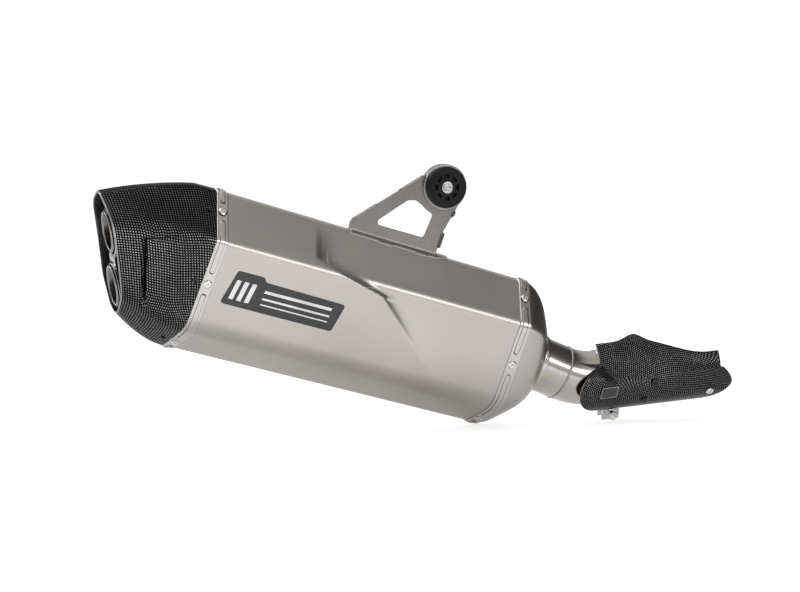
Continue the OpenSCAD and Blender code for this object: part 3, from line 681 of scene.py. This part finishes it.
# Height of its top at the sleeve, how far that falls by the face, and its low end.
HOLLOW_TOP = 55
HOLLOW_FALL = 41
HOLLOW_LOW = -52
FACE_CORNERS = [
    (-5, 52, 5), (5, 52, 5), (29, 34, 20), (29, -40, 26), (0, -82, 20), (-35, -40, 30), (-38, 34, 22),
]


def face_x(y, z):
    """The slanted and slightly bowed rear face."""
    bow = FACE_BOW * (1 - ((z + 15) / 67) ** 2)
    return X_REAR - CAP_REACH + FACE_SLANT * (FACE_TOP - z) - FACE_YAW * y + bow


def cap_corners(s):
    """Section corners at share s of the way from the sleeve to the face."""
    start = section_corners(X_REAR)
    ridge = (max(s - RIDGE_HOLD, 0) / (1 - RIDGE_HOLD)) ** 1.15
    shares = [ridge, ridge, s * s, s ** 1.6, s * s, s ** 1.6, s * s]
    result = []
    for k in range(7):
        y, z, r = (mix(a, b, shares[k]) for a, b in zip(start[k], FACE_CORNERS[k]))
        if k in (2, 6):
            r = mix(start[k][2], SHOULDER_SOFT, smooth(s / 0.35))
        result.append((y, z, r))
    return result


def cap_hollow(s, z):
    """Depth of the recess in the side: eases in from the front, ends in a step."""
    step = 1 - smooth((s - HOLLOW_END) / 0.03)
    ease = smooth((s - HOLLOW_START) / 0.5) * step
    slot = SLOT_SHARE * smooth((s - SLOT_START) / 0.03) * step
    top = 1 - smooth((z - HOLLOW_TOP + HOLLOW_FALL * s) / 3.5)
    return CAP_PRESS * (ease + slot) * smooth((z - HOLLOW_LOW) / 30) * top


def cap_ring(s, inset, shorten=0.0):
    ring = []
    for p in outline(cap_corners(s), inset, ARC, EDGES):
        y = p[0] + (cap_hollow(s, p[1]) if p[0] < -20 else 0)
        ring.append((mix(X_REAR - 0.2, face_x(y, p[1]), s) + shorten, y, p[1]))
    return ring


def build_end_cap():
    outer = [cap_ring(1, CAP_WALL / 2 - CAP_PROUD)]
    for angle in (20, 40, 60, 80):
        a = math.radians(angle)
        inset = CAP_WALL / 2 * (1 - math.sin(a)) - CAP_PROUD
        outer.append(cap_ring(1, inset, CAP_WALL / 2 * (1 - math.cos(a))))
    rim = len(outer)
    shares = [0.985, 0.97] + [0.95 - 0.95 * i / 84 for i in range(85)]
    outer += [cap_ring(s, -CAP_PROUD) for s in shares]
    inner_shares = (0.985, 0.9, 0.8, 0.7, 0.66, 0.6, 0.5, 0.4, 0.3, 0.2, 0.1, 0)
    inner = [cap_ring(s, CAP_WALL - CAP_PROUD) for s in inner_shares]
    mesh = shell("end_cap", outer, inner, OWN, WEAVE, SHOULDER_START)
    columns = len(outer[0])

    # Rows round the rear rim take the pale look as a painted highlight; the inside takes the lining.
    def part(index):
        row = index // columns
        if row < rim or row >= len(outer) + len(inner) - 1:
            return 1
        return 2 if row >= len(outer) else 0

    looks = [CARBON, EDGE_HIGHLIGHT_AND_BORDER, LINING]
    piece("end_cap_shell", mesh, looks, "end_cap", 60.0, part)


# ------------------------------------------------------------------ outlets
def slanted_lathe(name, profile, k):
    """Ring about outlet k. Each (offset, r) is measured from its lip's plane."""
    z0 = OUTLET_Z[k]
    lip_x = face_x(0, z0) + LIP_RECESS[k]

    def point(offset, r, angle):
        y, z = r * math.cos(angle), z0 + r * math.sin(angle)
        return (lip_x - FACE_SLANT * (z - z0) - LIP_YAW * y + offset, y, z)

    return spun(name, profile, OWN, 96, point)


LIP_RIM = 2.0
LIP_FACES = 12          # faces of the outlet's profile that belong to the lip
OUTLET_LENGTH = 78
TRIM_R = OUTLET_R + LIP_RIM + 1.4
TRIM_T = 1.4


def build_outlets():
    lip = OUTLET_R + LIP_RIM
    for k, name in enumerate(("upper", "lower")):
        profile = outline([
            (0, OUTLET_BORE_R, 1.5), (0, lip, 1.5), (3, lip, 1.0), (3.2, OUTLET_R, 0.3),
            (OUTLET_LENGTH, OUTLET_R, 0), (OUTLET_LENGTH, OUTLET_BORE_R, 0),
        ], steps=5)
        mesh = slanted_lathe("outlet", profile, k)
        piece(
            f"outlet_{name}", mesh, [DARK_STEEL, LIP_STEEL], f"outlet_pipe_{name}",
            part=lambda index: index % len(profile) < LIP_FACES)
    meshes = []
    for k in (0, 1):
        deep = PLATE_RECESS - LIP_RECESS[k] - 0.1
        ring = outline([
            (3, TRIM_R, 0.5), (3, TRIM_R + TRIM_T, 0.5), (deep, TRIM_R + TRIM_T, 0), (deep, TRIM_R, 0),
        ], steps=4)
        meshes.append(slanted_lathe("trim", ring, k))
    meshes.append(build_bridge())
    piece("outlet_trim_rings", joined("outlet_trim_rings", meshes), STEEL, "outlet_trim")


def build_bridge():
    """Waisted web that joins the two trim rings."""
    radius = TRIM_R + TRIM_T - 0.4
    middle = sum(OUTLET_Z) / 2
    half_pitch = (OUTLET_Z[0] - OUTLET_Z[1]) / 2
    loops = []
    for i in range(17):
        y = 9.0 * (i / 8 - 1)
        half = half_pitch - math.sqrt(radius ** 2 - y ** 2)
        loop = []
        for depth, up in ((6.5, -1), (5.2, -0.6), (5.0, 0), (5.2, 0.6), (6.5, 1), (15, 1), (15, -1)):
            z = middle + half * up
            loop.append((face_x(y, z) + depth, y, z))
        loops.append(loop)
    return loft("bridge", loops, OWN, ends=True)


# --------------------------------------------------------------- inlet side
def dome_ring(angle, inset):
    s, rise = max(math.cos(angle), 0.0) ** DOME_TAPER, math.sin(angle) ** DOME_TAPER
    collar = PIPE_R + 2.5 - inset
    ring = []
    for p in sleeve_points(X_FRONT, inset + 0.3):
        out = heading((p[0], p[1] - COLLAR_Z))
        hub = polar(collar, out) + Vector((0, COLLAR_Z))
        r = hub.lerp(p, s)
        ring.append((X_FRONT + 0.2 + (DOME_LENGTH - inset) * rise, r[0], r[1]))
    return ring


def build_dome():
    wall = 1.5

    def side(skirt_inset, inset, step):
        skirt = [sleeve_ring(x, skirt_inset) for x in (X_FRONT - 22, X_FRONT + 0.1)]
        return skirt + [dome_ring(math.radians(90 * i / 40), inset) for i in range(0, 41, step)]

    mesh = shell("inlet_dome", side(SHEET + 0.25, 0, 1), side(SHEET + wall, wall, 4), OWN)
    piece("inlet_dome", mesh, DOME, "inlet_cap")


def build_collar():
    """Collar with a lens-shaped weep slot on the outer side."""
    slot_angle = math.radians(180 - 18)

    def lens(x, r, angle):
        if r < PIPE_R + 1.5:
            return 0.0
        along = math.remainder(angle - slot_angle, 2 * math.pi) * PIPE_R / 5.5
        off = (x - 4.0) / 1.3
        return -1.6 * smooth((1 - along * along - abs(off)) * 3)

    xs = [0.5 + 0.35 * i for i in range(21)]
    top = [(x, PIPE_R + 2.2 - 0.5 * (abs(x - 4) / 3.5) ** 6) for x in xs]
    profile = [(0.5, PIPE_R + 0.02)] + top + [(7.5, PIPE_R + 0.02)]
    mesh = lathe("inlet_ring", profile, START, 240, lens)
    piece("inlet_ring", mesh, STEEL, "inlet_collar")


def seam(angle_at, height, width):
    """Bump for lathe: a rippled weld ridge along a tube at one angle."""
    def ridge(x, r, angle):
        off = math.remainder(angle - angle_at, 2 * math.pi) * PIPE_R
        ripple = 1 + 0.25 * math.sin(x * 2.4)
        return height * ripple * math.exp(-(off / width) ** 2) if r > PIPE_R - 1 else 0.0
    return ridge


def build_pipes():
    xs = [-11.8 + 0.8 * i for i in range(60)]
    profile = [(x, PIPE_R) for x in xs] + [(35.4, PIPE_R - PIPE_WALL), (-11.8, PIPE_R - PIPE_WALL)]
    mesh = lathe("inlet_tube", profile, START, 128, seam(math.radians(207), 0.28, 1.1))
    piece("inlet_tube", mesh, TUBE, "inlet_pipe")

    def ripple(x, r, angle):
        return 0.16 * math.sin(angle * 88 + 2 * math.sin(angle * 3)) * smooth(r - PIPE_R)

    bead = [Vector((STRAIGHT, PIPE_R - 0.6)) + polar(1.5, 2 * math.pi * i / 14) for i in range(14)]
    mesh = lathe("pipe_seam", bead, START, 352, ripple)
    piece("pipe_seam", mesh, WELD, "pipe_weld")


def hull_of(points):
    """Convex hull of 2D points, anticlockwise."""
    ordered = sorted(set((round(p[0], 5), round(p[1], 5)) for p in points))

    def chain(row):
        kept = []
        for p in row:
            while len(kept) > 1:
                a, b = Vector(kept[-2]), Vector(kept[-1])
                if (b - a).cross(Vector(p) - b) > 0:
                    break
                kept.pop()
            kept.append(p)
        return kept[:-1]

    return [Vector(p) for p in chain(ordered) + chain(ordered[::-1])]


def discs_hull(discs, steps=40):
    points = []
    for x, y, r in discs:
        points += [Vector((x, y)) + polar(r, 2 * math.pi * i / steps) for i in range(steps)]
    return hull_of(points)


def reach_hull(hull, centre, angle):
    """Distance from centre to the hull's edge in a direction."""
    ray = polar(1, angle)
    best = 1e9
    for a, b in zip(hull, hull[1:] + hull[:1]):
        run = b - a
        across = ray.cross(run)
        if abs(across) < 1e-9:
            continue
        along = (a - centre).cross(run) / across
        share = (a - centre).cross(ray) / across
        if along > 0 and -1e-6 <= share <= 1 + 1e-6:
            best = min(best, along)
    return best


def reach_disc(centre, angle, middle, radius):
    """Distance from centre to a disc in a direction, or a long way if it misses."""
    ray = polar(1, angle)
    away = middle - centre
    along = away.dot(ray)
    gap = radius * radius - (away.length_squared - along * along)
    return along - math.sqrt(gap) if gap > 0 and along > 0 else 1e9


def sheet_plate(name, loops, half, bevel, place):
    """Flat sheet in X-Z from an outer loop and hole loops, with softened edges."""
    bm = bmesh.new()
    rims = {-1: [], 1: []}
    for number, loop in enumerate(loops):
        inner = moved_in(loop, bevel if number == 0 else -bevel)
        rings = []
        for side in (-1, 1):
            edge = [bm.verts.new(place @ Vector((p.x, side * (half - bevel), p.y))) for p in loop]
            face = [bm.verts.new(place @ Vector((p.x, side * half, p.y))) for p in inner]
            rings += [face, edge] if side < 0 else [edge, face]
            rims[side].append(face)
        for a, b in zip(rings, rings[1:]):
            for i in range(len(loop)):
                j = (i + 1) % len(loop)
                bm.faces.new([a[i], a[j], b[j], b[i]])
    for side in (-1, 1):
        edges = [
            bm.edges.get((rim[i], rim[(i + 1) % len(rim)]))
            for rim in rims[side] for i in range(len(rim))
        ]
        bmesh.ops.triangle_fill(bm, use_beauty=True, use_dissolve=False, edges=edges)
    return meshed(name, bm)


# ------------------------------------------------------------------- hanger
BORE_XZ = Vector((HANG[0], HANG[2]))
BRACKET_HALF = 1.5
FOOT_Z = 83.7
FOLD = 4.5
# Start (x, z), length and slope in degrees of each folded edge.
FOLDED_EDGES = (
    (-30.9, 92.4, 32, 44.5), (13.3, 135.9, 31, 44.5), (74.3, 105, 18, -94.4), (81, 131, 8, -105),
)


def build_bracket():
    body = discs_hull([
        (-29, FOOT_Z + 2, 3), (-29, 90.5, 3), (70, FOOT_Z, 3), (BORE_XZ[0] - 6, BORE_XZ[1] - 4, 21.4),
    ])
    flare = discs_hull([(66, 106, 8.5), (*BORE_XZ, RING_R)])
    angles = [2 * math.pi * i / 900 for i in range(900)]
    outer = [
        BORE_XZ + polar(max(reach_hull(flare, BORE_XZ, a), reach_hull(body, BORE_XZ, a)), a) for a in angles
    ]
    opening = discs_hull([(2, 98, 3.5), (29, 123, 6), (35, 124.5, 6), (53, 118, 5), (51, 98, 4)])
    middle = Vector((30, 107))
    window = []
    for a in angles:
        reach = min(reach_hull(opening, middle, a), reach_disc(middle, a, BORE_XZ, RING_R + 6.5))
        window.append(middle + polar(reach, a))
    hole = [BORE_XZ + polar(RING_R - 1, 2 * math.pi * i / 96) for i in range(96)]
    loops = [even_loop(outer, 320), even_loop(window, 160), hole]
    meshes = [sheet_plate("bracket", loops, BRACKET_HALF, 0.35, LEVEL @ shift(0, HANG[1], 0))]
    for x, z, length, slope in FOLDED_EDGES:
        place = LEVEL @ shift(x, HANG[1] - BRACKET_HALF, z) @ turn(-slope, "Y")
        rings = []
        for i in range(25):
            along = length * i / 24
            depth = max(0.3, FOLD * smooth(min(along, length - along) / 2.2) ** 0.6)
            ring = outline([(-depth, 0, 0.7), (1.0, 0, 0.2), (1.0, 1.6, 0.6), (-depth, 1.6, 0.7)], steps=4)
            rings.append([(along, p[0], p[1]) for p in ring])
        meshes.append(loft("fold", rings, place, ends=True))
    plate = joined("hanger_plate", meshes)
    piece("hanger_plate", plate, PLATE_STEEL, "hanger_bracket")


HOOP = BORE @ turn(-90, "Y")
WINDOW_PITCH = 45       # degrees from one bush window to the next
WINDOW_HALF = 15
WINDOW_R = 12.2
WINDOW_DEPTH = 4.5


def build_ring():
    ring = outline([(-5, 18, 0.5), (-5, RING_R, 0.7), (5, RING_R, 0.7), (5, 18, 0.5)], steps=5)
    mesh = lathe("ring", ring, HOOP, 128)
    piece("hanger_hoop", mesh, PLATE_STEEL, "hanger_ring")


def build_bush():
    """Rubber bush with eight blind windows round the steel sleeve."""
    sleeve_r = 6.45
    corners = [
        (-11.05, sleeve_r + 0.05, 0.2), (-11.05, 21, 1.0), (-5.1, 21, 0.6), (-5.1, 17.95, 0.2),
        (5.1, 17.95, 0.2), (5.1, BUSH_R, 0.8), (10.9, BUSH_R, 2.0), (11.05, BUSH_R - 3, 1.2),
        (10.4, BUSH_R - 5, 0.8), (10.4, sleeve_r + 3, 0.6), (11.0, sleeve_r + 1.8, 0.4),
        (11.0, sleeve_r + 0.05, 0.2),
    ]
    face_corner = 8
    points = outline(corners, steps=5, edges=[18 if k == face_corner else 0 for k in range(len(corners))])

    def point(x, r, angle):
        depth = 0.0
        if x > 10.3 and 9.5 < r < 14.1:
            turned = math.degrees(angle) % WINDOW_PITCH - WINDOW_HALF
            side = 1 - abs(turned / WINDOW_HALF) ** 6
            radial = 1 - abs((r - WINDOW_R) / 1.75) ** 6
            depth = WINDOW_DEPTH * smooth(min(side, radial) * 3)
        return (x - depth, r * math.cos(angle), r * math.sin(angle))

    mesh = spun("bush", points, HOOP, 288, point)
    piece("bush", mesh, RUBBER, "rubber_bush")


def build_bush_sleeve():
    half, bore, outer = 12.5, 4.25, 6.4
    corners = [(-half, bore, 0.5), (-half, outer, 0.5), (half, outer, 0.5), (half, bore, 0.5)]
    mesh = lathe("bush_sleeve", outline(corners, steps=4), HOOP, 96)
    piece("bush_sleeve", mesh, RIVET, "hanger_sleeve", body="hanger_sleeve")


SADDLE_REAR = -33
SADDLE_LENGTH = 117
SADDLE_NEAR = 8.0       # reach to the near and the far side of the ridge
SADDLE_FAR = 17.0
SADDLE_TABS = ((-1, 16), (43, 59))
SADDLE_BEND = 3.0
SADDLE_FLAT = 2.6
SADDLE_BASE = 0.1       # underside and top above the sleeve
SADDLE_TOP = 1.65


def saddle_ring(x):
    near = SADDLE_NEAR
    for start, stop in SADDLE_TABS:
        near += smooth((x - start) / 1.2) * (1 - smooth((x - stop) / 1.2))
    near *= 1 - 0.45 * smooth((x - 66) / 18)
    far = SADDLE_FAR - 9 * smooth((x - 70) / 14) - 5 * smooth((-25 - x) / 8)
    corners = section_corners(x)
    crest, shoulder = corners[0][1], corners[2]
    slope = (crest - shoulder[1]) / (shoulder[0] - RIDGE_HALF)
    section = []
    for j in range(27):
        y = mix(-near, far, j / 26)
        away = math.sqrt(y * y + SADDLE_BEND * SADDLE_BEND) - SADDLE_BEND
        section.append((y, crest - slope * max(away - SADDLE_FLAT, 0) * 1.02))
    top = [(x, y, z + SADDLE_TOP) for y, z in section]
    return top + [(x, y, z + SADDLE_BASE) for y, z in section[::-1]]


def build_saddle():
    """Folded strip along the ridge with two tabs, a rear end cut back on the far side and a toe."""
    rings = [saddle_ring(SADDLE_REAR + SADDLE_LENGTH * i / 170) for i in range(171)]
    mesh = loft("saddle", rings, OWN, ends="strip")
    piece("saddle", mesh, PLATE_STEEL, "saddle_plate")


# -------------------------------------------------------------- heat shield
SHIELD_T = 1.6
SHIELD_WEAVE = 2.4
LOBE_R = PIPE_R + 5.5 + SHIELD_T
LOBE_SHARE = 0.62
LOBE_LOW = -86.0
BOSSES = ((56, -13), (47, -49), (126, -44))


def valley_angle(u):
    """Angle of the valley between the lobe and the wing at u along the pipe."""
    return 2 + 26 * (1 - smooth((u + 12) / 40)) ** 2


def valley_dip(u):
    return 3.4 * (1 - smooth((u - 35) / 50))


def lobe_dip(u, share):
    """How far the lobe dips at a share of the way from its low edge to the valley."""
    return valley_dip(u) * smooth((share - 0.72) / 0.28)


def surface_r(u, angle):
    """Radius of the lobe's outside at u and an angle in degrees."""
    return LOBE_R - lobe_dip(u, (angle - LOBE_LOW) / (valley_angle(u) - LOBE_LOW))


def wing_tip(u):
    """Free edge of the wing (outboard, up), with its peak near the rear."""
    top = 19 + 23 * (1 - smooth((u - 30) / 95)) + 6.5 * math.exp(-(((u - 32) / 13) ** 2))
    out = mix(37, math.sqrt(LOBE_R ** 2 - 19 ** 2) + 1, smooth((u - 30) / 80))
    return Vector((out, top))


def shield_section(u, a):
    """Point (outboard, up) of the shield at u along the pipe and share a across."""
    if a < LOBE_SHARE:
        share = a / LOBE_SHARE
        return polar(LOBE_R - lobe_dip(u, share), math.radians(mix(LOBE_LOW, valley_angle(u), share)))
    dip = valley_dip(u)
    root = polar(LOBE_R - dip, math.radians(valley_angle(u)))
    tip = wing_tip(u)
    belly = Vector((max(root[0], tip[0]) + 0.9 * dip, mix(root[1], tip[1], 0.45)))
    s = (a - LOBE_SHARE) / (1 - LOBE_SHARE)
    return root.lerp(belly, s).lerp(belly.lerp(tip, s), s)


def shield_ends(a):
    """Where the shield starts and stops along the pipe at share a across."""
    if a < LOBE_SHARE:
        share = a / LOBE_SHARE
        return -34 + 34 * (abs(share - 0.55) / 0.52) ** 2, 151 - 33 * (abs(share - 0.66) / 0.62) ** 1.7
    return mix(-6, -13, (a - LOBE_SHARE) / (1 - LOBE_SHARE)), 136.5


def shield_point(i, a, inset):
    """Point at share i along and a across, moved in by inset."""
    rear, front = shield_ends(a)
    u = mix(rear, front, i)
    run = shield_section(u, min(a + 0.01, 1)) - shield_section(u, max(a - 0.01, 0))
    run.normalize()
    p = shield_section(u, a) - inset * Vector((run[1], -run[0]))
    return (u, -p[0], p[1])


def build_shield():
    shares = [LOBE_SHARE * j / 60 for j in range(60)] + [mix(LOBE_SHARE, 1, j / 40) for j in range(41)]
    rings = []
    for k in range(111):
        i = k / 110
        outer = [shield_point(i, a, 0) for a in shares]
        rings.append(outer + [shield_point(i, a, SHIELD_T) for a in shares[::-1]])
    mesh = loft("shield", rings, PIPE, cell=SHIELD_WEAVE, ends="strip")
    columns = 2 * len(shares)
    sides = (len(rings) - 1) * columns

    # Faces on the shield's edges take the pale look as a painted highlight.
    def on_edge(index):
        return index >= sides or index % columns in (len(shares) - 1, columns - 1)

    looks = [SHADED_SHIELD_CARBON, EDGE_HIGHLIGHT_AND_BORDER]
    piece("carbon_shield", mesh, looks, "heat_shield", 50.0, on_edge)


def at_shield(u, angle, r):
    """Frame on the shield whose local Z points outwards."""
    return PIPE @ shift(u, 0, 0) @ turn(90 - angle, "X") @ shift(0, 0, r)


def build_shield_screws():
    sizes = (2.2, 4.4, 3.2, 1.5, 1.3, 6.5)
    meshes = []
    for u, angle in BOSSES:
        seat = max(surface_r(u, angle), surface_r(u, angle - 7) * math.cos(math.radians(7))) + 0.15
        place = turned_up(at_shield(u, angle, seat))
        meshes.append(lathe("shield_screw", head_profile(0, *sizes), place, 48))
    pair = joined("shield_bolts", meshes[:2])
    piece("shield_bolts", pair, BLACK_STEEL, "shield_screws")
    piece("shield_front_bolt", meshes[2], RIVET, "shield_front_screw")


# ------------------------------------------------------------------- badges
BADGE_U = -11           # the shield badge's low rear corner along the pipe
BADGE_LENGTH = 21
BADGE_HEIGHT = 14
BADGE_LEAN = 3
BADGE_ANGLE = -22       # degrees round the lobe


def framed(length, inner):
    """Positions across a plate: an edge, a border line, then an even field."""
    start = [0.0, 0.25, 0.8, 1.25]
    field = [mix(1.25, length - 1.25, i / inner) for i in range(1, inner)]
    return start + field + [length - p for p in start[::-1]]


def build_shield_badge():
    """Thin blank plate on the lobe with a grey border line."""
    us, ws = framed(BADGE_LENGTH, 14), framed(BADGE_HEIGHT, 10)
    rings = []
    for w in ws:
        ring = []
        for u in us:
            edge = u in (us[0], us[-1]) or w in (ws[0], ws[-1])
            angle = math.radians(BADGE_ANGLE) + (w - BADGE_HEIGHT / 2) / LOBE_R
            r = LOBE_R + (0.1 if edge else 0.88)
            along = BADGE_U + u + BADGE_LEAN * w / BADGE_HEIGHT
            ring.append((along, -r * math.cos(angle), r * math.sin(angle)))
        rings.append(ring)
    mesh = loft("shield_badge", rings, PIPE, around=False)
    wide = len(us) - 1

    def on_border(index):
        j, i = divmod(index, wide)
        return min(i, wide - 1 - i, j, len(ws) - 2 - j) == 2

    looks = [ENAMEL, EDGE_HIGHLIGHT_AND_BORDER]
    piece("shield_badge_plate", mesh, looks, "shield_badge", part=on_border)


def build_sleeve_badge():
    """Black plate with plain bars and pinstripes."""
    corners = [(-165, -14, 3), (-36, -14, 3), (-30, 18, 3), (-123, 20, 3), (-127, 25, 3), (-157, 25, 3)]
    border = even_loop(outline(corners, steps=6), 400)
    rings = []
    for inset, depth in ((0, 0.05), (0, 0.4), (0.07, 0.53), (0.25, 0.6), (1.0, 0.6)):
        loop = moved_in(border, inset)
        rings.append([(p.x, -HALF_WIDTH - 0.02 - depth, p.y) for p in loop])
    mesh = loft("badge", rings, OWN)
    bm = bmesh.new()
    bm.from_mesh(mesh)
    bm.faces.new(list(bm.verts)[-len(border):])
    stripes = [
        [(-158 + 9 * k, -7), (-153 + 9 * k, -7), (-150 + 9 * k, 15), (-155 + 9 * k, 15)] for k in range(3)
    ]
    stripes += [
        [(-122, z), (-44, z), (-43.4, z + t), (-121.4, z + t)] for z, t in ((8, 3.2), (0.5, 2.2), (-5.5, 1.4))
    ]
    for stripe in stripes:
        bm.faces.new([bm.verts.new(OWN @ Vector((x, -HALF_WIDTH - 0.65, z))) for x, z in stripe])
    bmesh.ops.recalc_face_normals(bm, faces=bm.faces)
    bm.to_mesh(mesh)
    bm.free()
    first_stripe = len(mesh.polygons) - len(stripes)
    piece(
        "sleeve_badge_plate", mesh, [ENAMEL, STRIPE], "sleeve_badge",
        part=lambda index: index >= first_stripe)


# -------------------------------------------------------------- CAD as it is
def dress_cad():
    looks = {
        "clamp_band": STEEL, "clamp_nut": RIVET, "clamp_washer": RIVET, "clamp_screw": RIVET,
        "rear_bulkhead": INNER_STEEL, "perforated_core": INNER_STEEL, "inner_baffle": INNER_STEEL,
        "front_baffle": INNER_STEEL, "packing": WOOL, "outlet_plate": BLACK_PAINT,
        "outlet_plate_screw": RIVET, "shield_bosses": TUBE, "bend_pipe": TUBE, "link_pipe": TUBE,
    }
    for name, look in looks.items():
        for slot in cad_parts[name].material_slots:
            slot.material = look.material


# ---------------------------------------------------------------- the scene
VIEW_AZIMUTH = -21.0
VIEW_ELEVATION = 5.0
LENS = 180.0
VIEW_DISTANCE = 4.32
AIM = Vector((-0.0517, -0.0029, -0.1167))
LIGHT_DISTANCE = 2.6
FLOOR_RADIUS = 60.0
FLOOR_GAP = 0.0005


def build_camera():
    azimuth, elevation = math.radians(VIEW_AZIMUTH), math.radians(VIEW_ELEVATION)
    ahead = Vector((
        -math.sin(azimuth) * math.cos(elevation),
        math.cos(azimuth) * math.cos(elevation),
        -math.sin(elevation)))
    data = bpy.data.cameras.new("camera")
    data.lens = LENS
    data.clip_end = 200
    camera = add_object("camera", data)
    camera.location = AIM - ahead * VIEW_DISTANCE
    camera.rotation_euler = ahead.to_track_quat("-Z", "Y").to_euler()
    bpy.context.scene.camera = camera


def area_light(name, direction, size, power):
    data = bpy.data.lights.new(name, "AREA")
    data.shape = "RECTANGLE"
    data.size, data.size_y = size
    data.energy = power
    light = add_object(name, data)
    toward = Vector(direction).normalized()
    light.location = AIM + toward * LIGHT_DISTANCE
    light.rotation_euler = (-toward).to_track_quat("-Z", "Y").to_euler()


def build_floor():
    """White to the camera; in reflections bright in front and darker towards +X."""
    look = Look("pale_floor", (0.80, 0.80, 0.80), 0.0, 0.85)
    look.set("Emission Color", (1, 1, 1, 1))
    seen = look.add("LightPath").outputs["Is Camera Ray"]
    split = look.add("SeparateXYZ", {"Vector": look.place()})
    front = look.ramp(split.outputs[1], 0.0, -0.27, 0.06, 0.50)
    front = look.math("MAXIMUM", front, look.ramp(split.outputs[0], -0.1, 0.2, 0.0, 0.36))
    ahead = look.ramp(split.outputs[0], 0.35, 0.9, 1.0, 0.15)
    front = look.math("MULTIPLY", front, ahead)
    grey = look.math("MULTIPLY", look.math("MAXIMUM", seen, ahead), 0.8)
    look.set("Base Color", look.add("CombineXYZ", {"X": grey, "Y": grey, "Z": grey}).outputs[0])
    look.set("Emission Strength", look.math("MAXIMUM", look.math("MULTIPLY", seen, 0.67), front))
    grain = look.noise(look.place(), 300.0, 2.0)
    look.set("Roughness", look.math("MULTIPLY_ADD", grain, 0.1, 0.8))
    low = CAD_BOX[0][2] - FLOOR_GAP
    rings = [
        [(r * math.cos(a * math.pi / 32), r * math.sin(a * math.pi / 32), low) for a in range(64)]
        for r in (0.3, 2.0, 10.0, FLOOR_RADIUS)
    ]
    mesh = loft("floor", rings, Matrix.Identity(4))
    bm = bmesh.new()
    bm.from_mesh(mesh)
    bm.faces.new([v for v in bm.verts if v.co.xy.length < 0.31])
    bmesh.ops.recalc_face_normals(bm, faces=bm.faces)
    bm.to_mesh(mesh)
    bm.free()
    mesh.materials.append(look.material)
    add_object("floor", mesh)


def build_world():
    """Studio surround: bright near the horizon, dim overhead and towards the front pipe."""
    world = bpy.data.worlds.new("studio")
    world.use_nodes = True
    nodes = Nodes(world.node_tree)
    seen = nodes.add("LightPath").outputs["Is Camera Ray"]
    split = nodes.add("SeparateXYZ", {"Vector": nodes.add("TexCoord").outputs["Generated"]}).outputs
    ramp = nodes.add("ValToRGB", {"Fac": split[2]})
    levels = ramp.color_ramp.elements
    levels.remove(levels[1])
    for k, (at, level) in enumerate(((0.0, 0.64), (0.22, 0.52), (0.48, 0.56), (0.75, 0.62), (1.0, 0.5))):
        stop = levels[0] if k == 0 else levels.new(at)
        stop.position = at
        stop.color = (level, level, level, 1)
    ahead = nodes.ramp(split[0], 0.50, 0.72, 1.0, 0.10)
    background = world.node_tree.nodes["Background"].inputs
    nodes.give(background["Color"], nodes.math("MAXIMUM", ramp.outputs[0], seen))
    nodes.give(background["Strength"], nodes.math("MAXIMUM", ahead, seen))
    bpy.context.scene.world = world


build_sleeve()
build_band("rear_band_hoop", "rear_band", X_REAR, REAR_RIVET_X)
build_band("front_band_hoop", "front_band", X_FRONT - BAND_WIDTH, FRONT_RIVET_X)
build_rivets("rear_rivets", REAR_RIVET_X, "rear_band_rivets", RIVET_BASE, RIVET_SIZES, RIVET)
build_rivets("front_rivets", FRONT_RIVET_X, "front_band_rivets", RIVET_BASE, RIVET_SIZES, RIVET)
build_end_cap()
build_outlets()
build_dome()
build_collar()
build_pipes()
build_rivets(
    "cap_rivets", X_REAR, "end_cap_rivets", CAP_RIVET_BASE, CAP_RIVET_SIZES, BLACK_STEEL,
    CAP_RIVET_BACK)
build_bracket()
build_ring()
build_bush()
build_bush_sleeve()
build_saddle()
build_shield()
build_shield_screws()
build_shield_badge()
build_sleeve_badge()
dress_cad()
build_floor()
build_world()
area_light("front_softbox", (0.40, -0.86, 0.30), (1.5, 0.7), 10)
area_light("back_softbox", (-0.5, 0.7, 0.55), (1.8, 1.0), 15)
area_light("overhead", (-0.25, 0.15, 1.0), (1.6, 1.2), 13)
build_camera()
bpy.context.scene.view_settings.view_transform = "Standard"
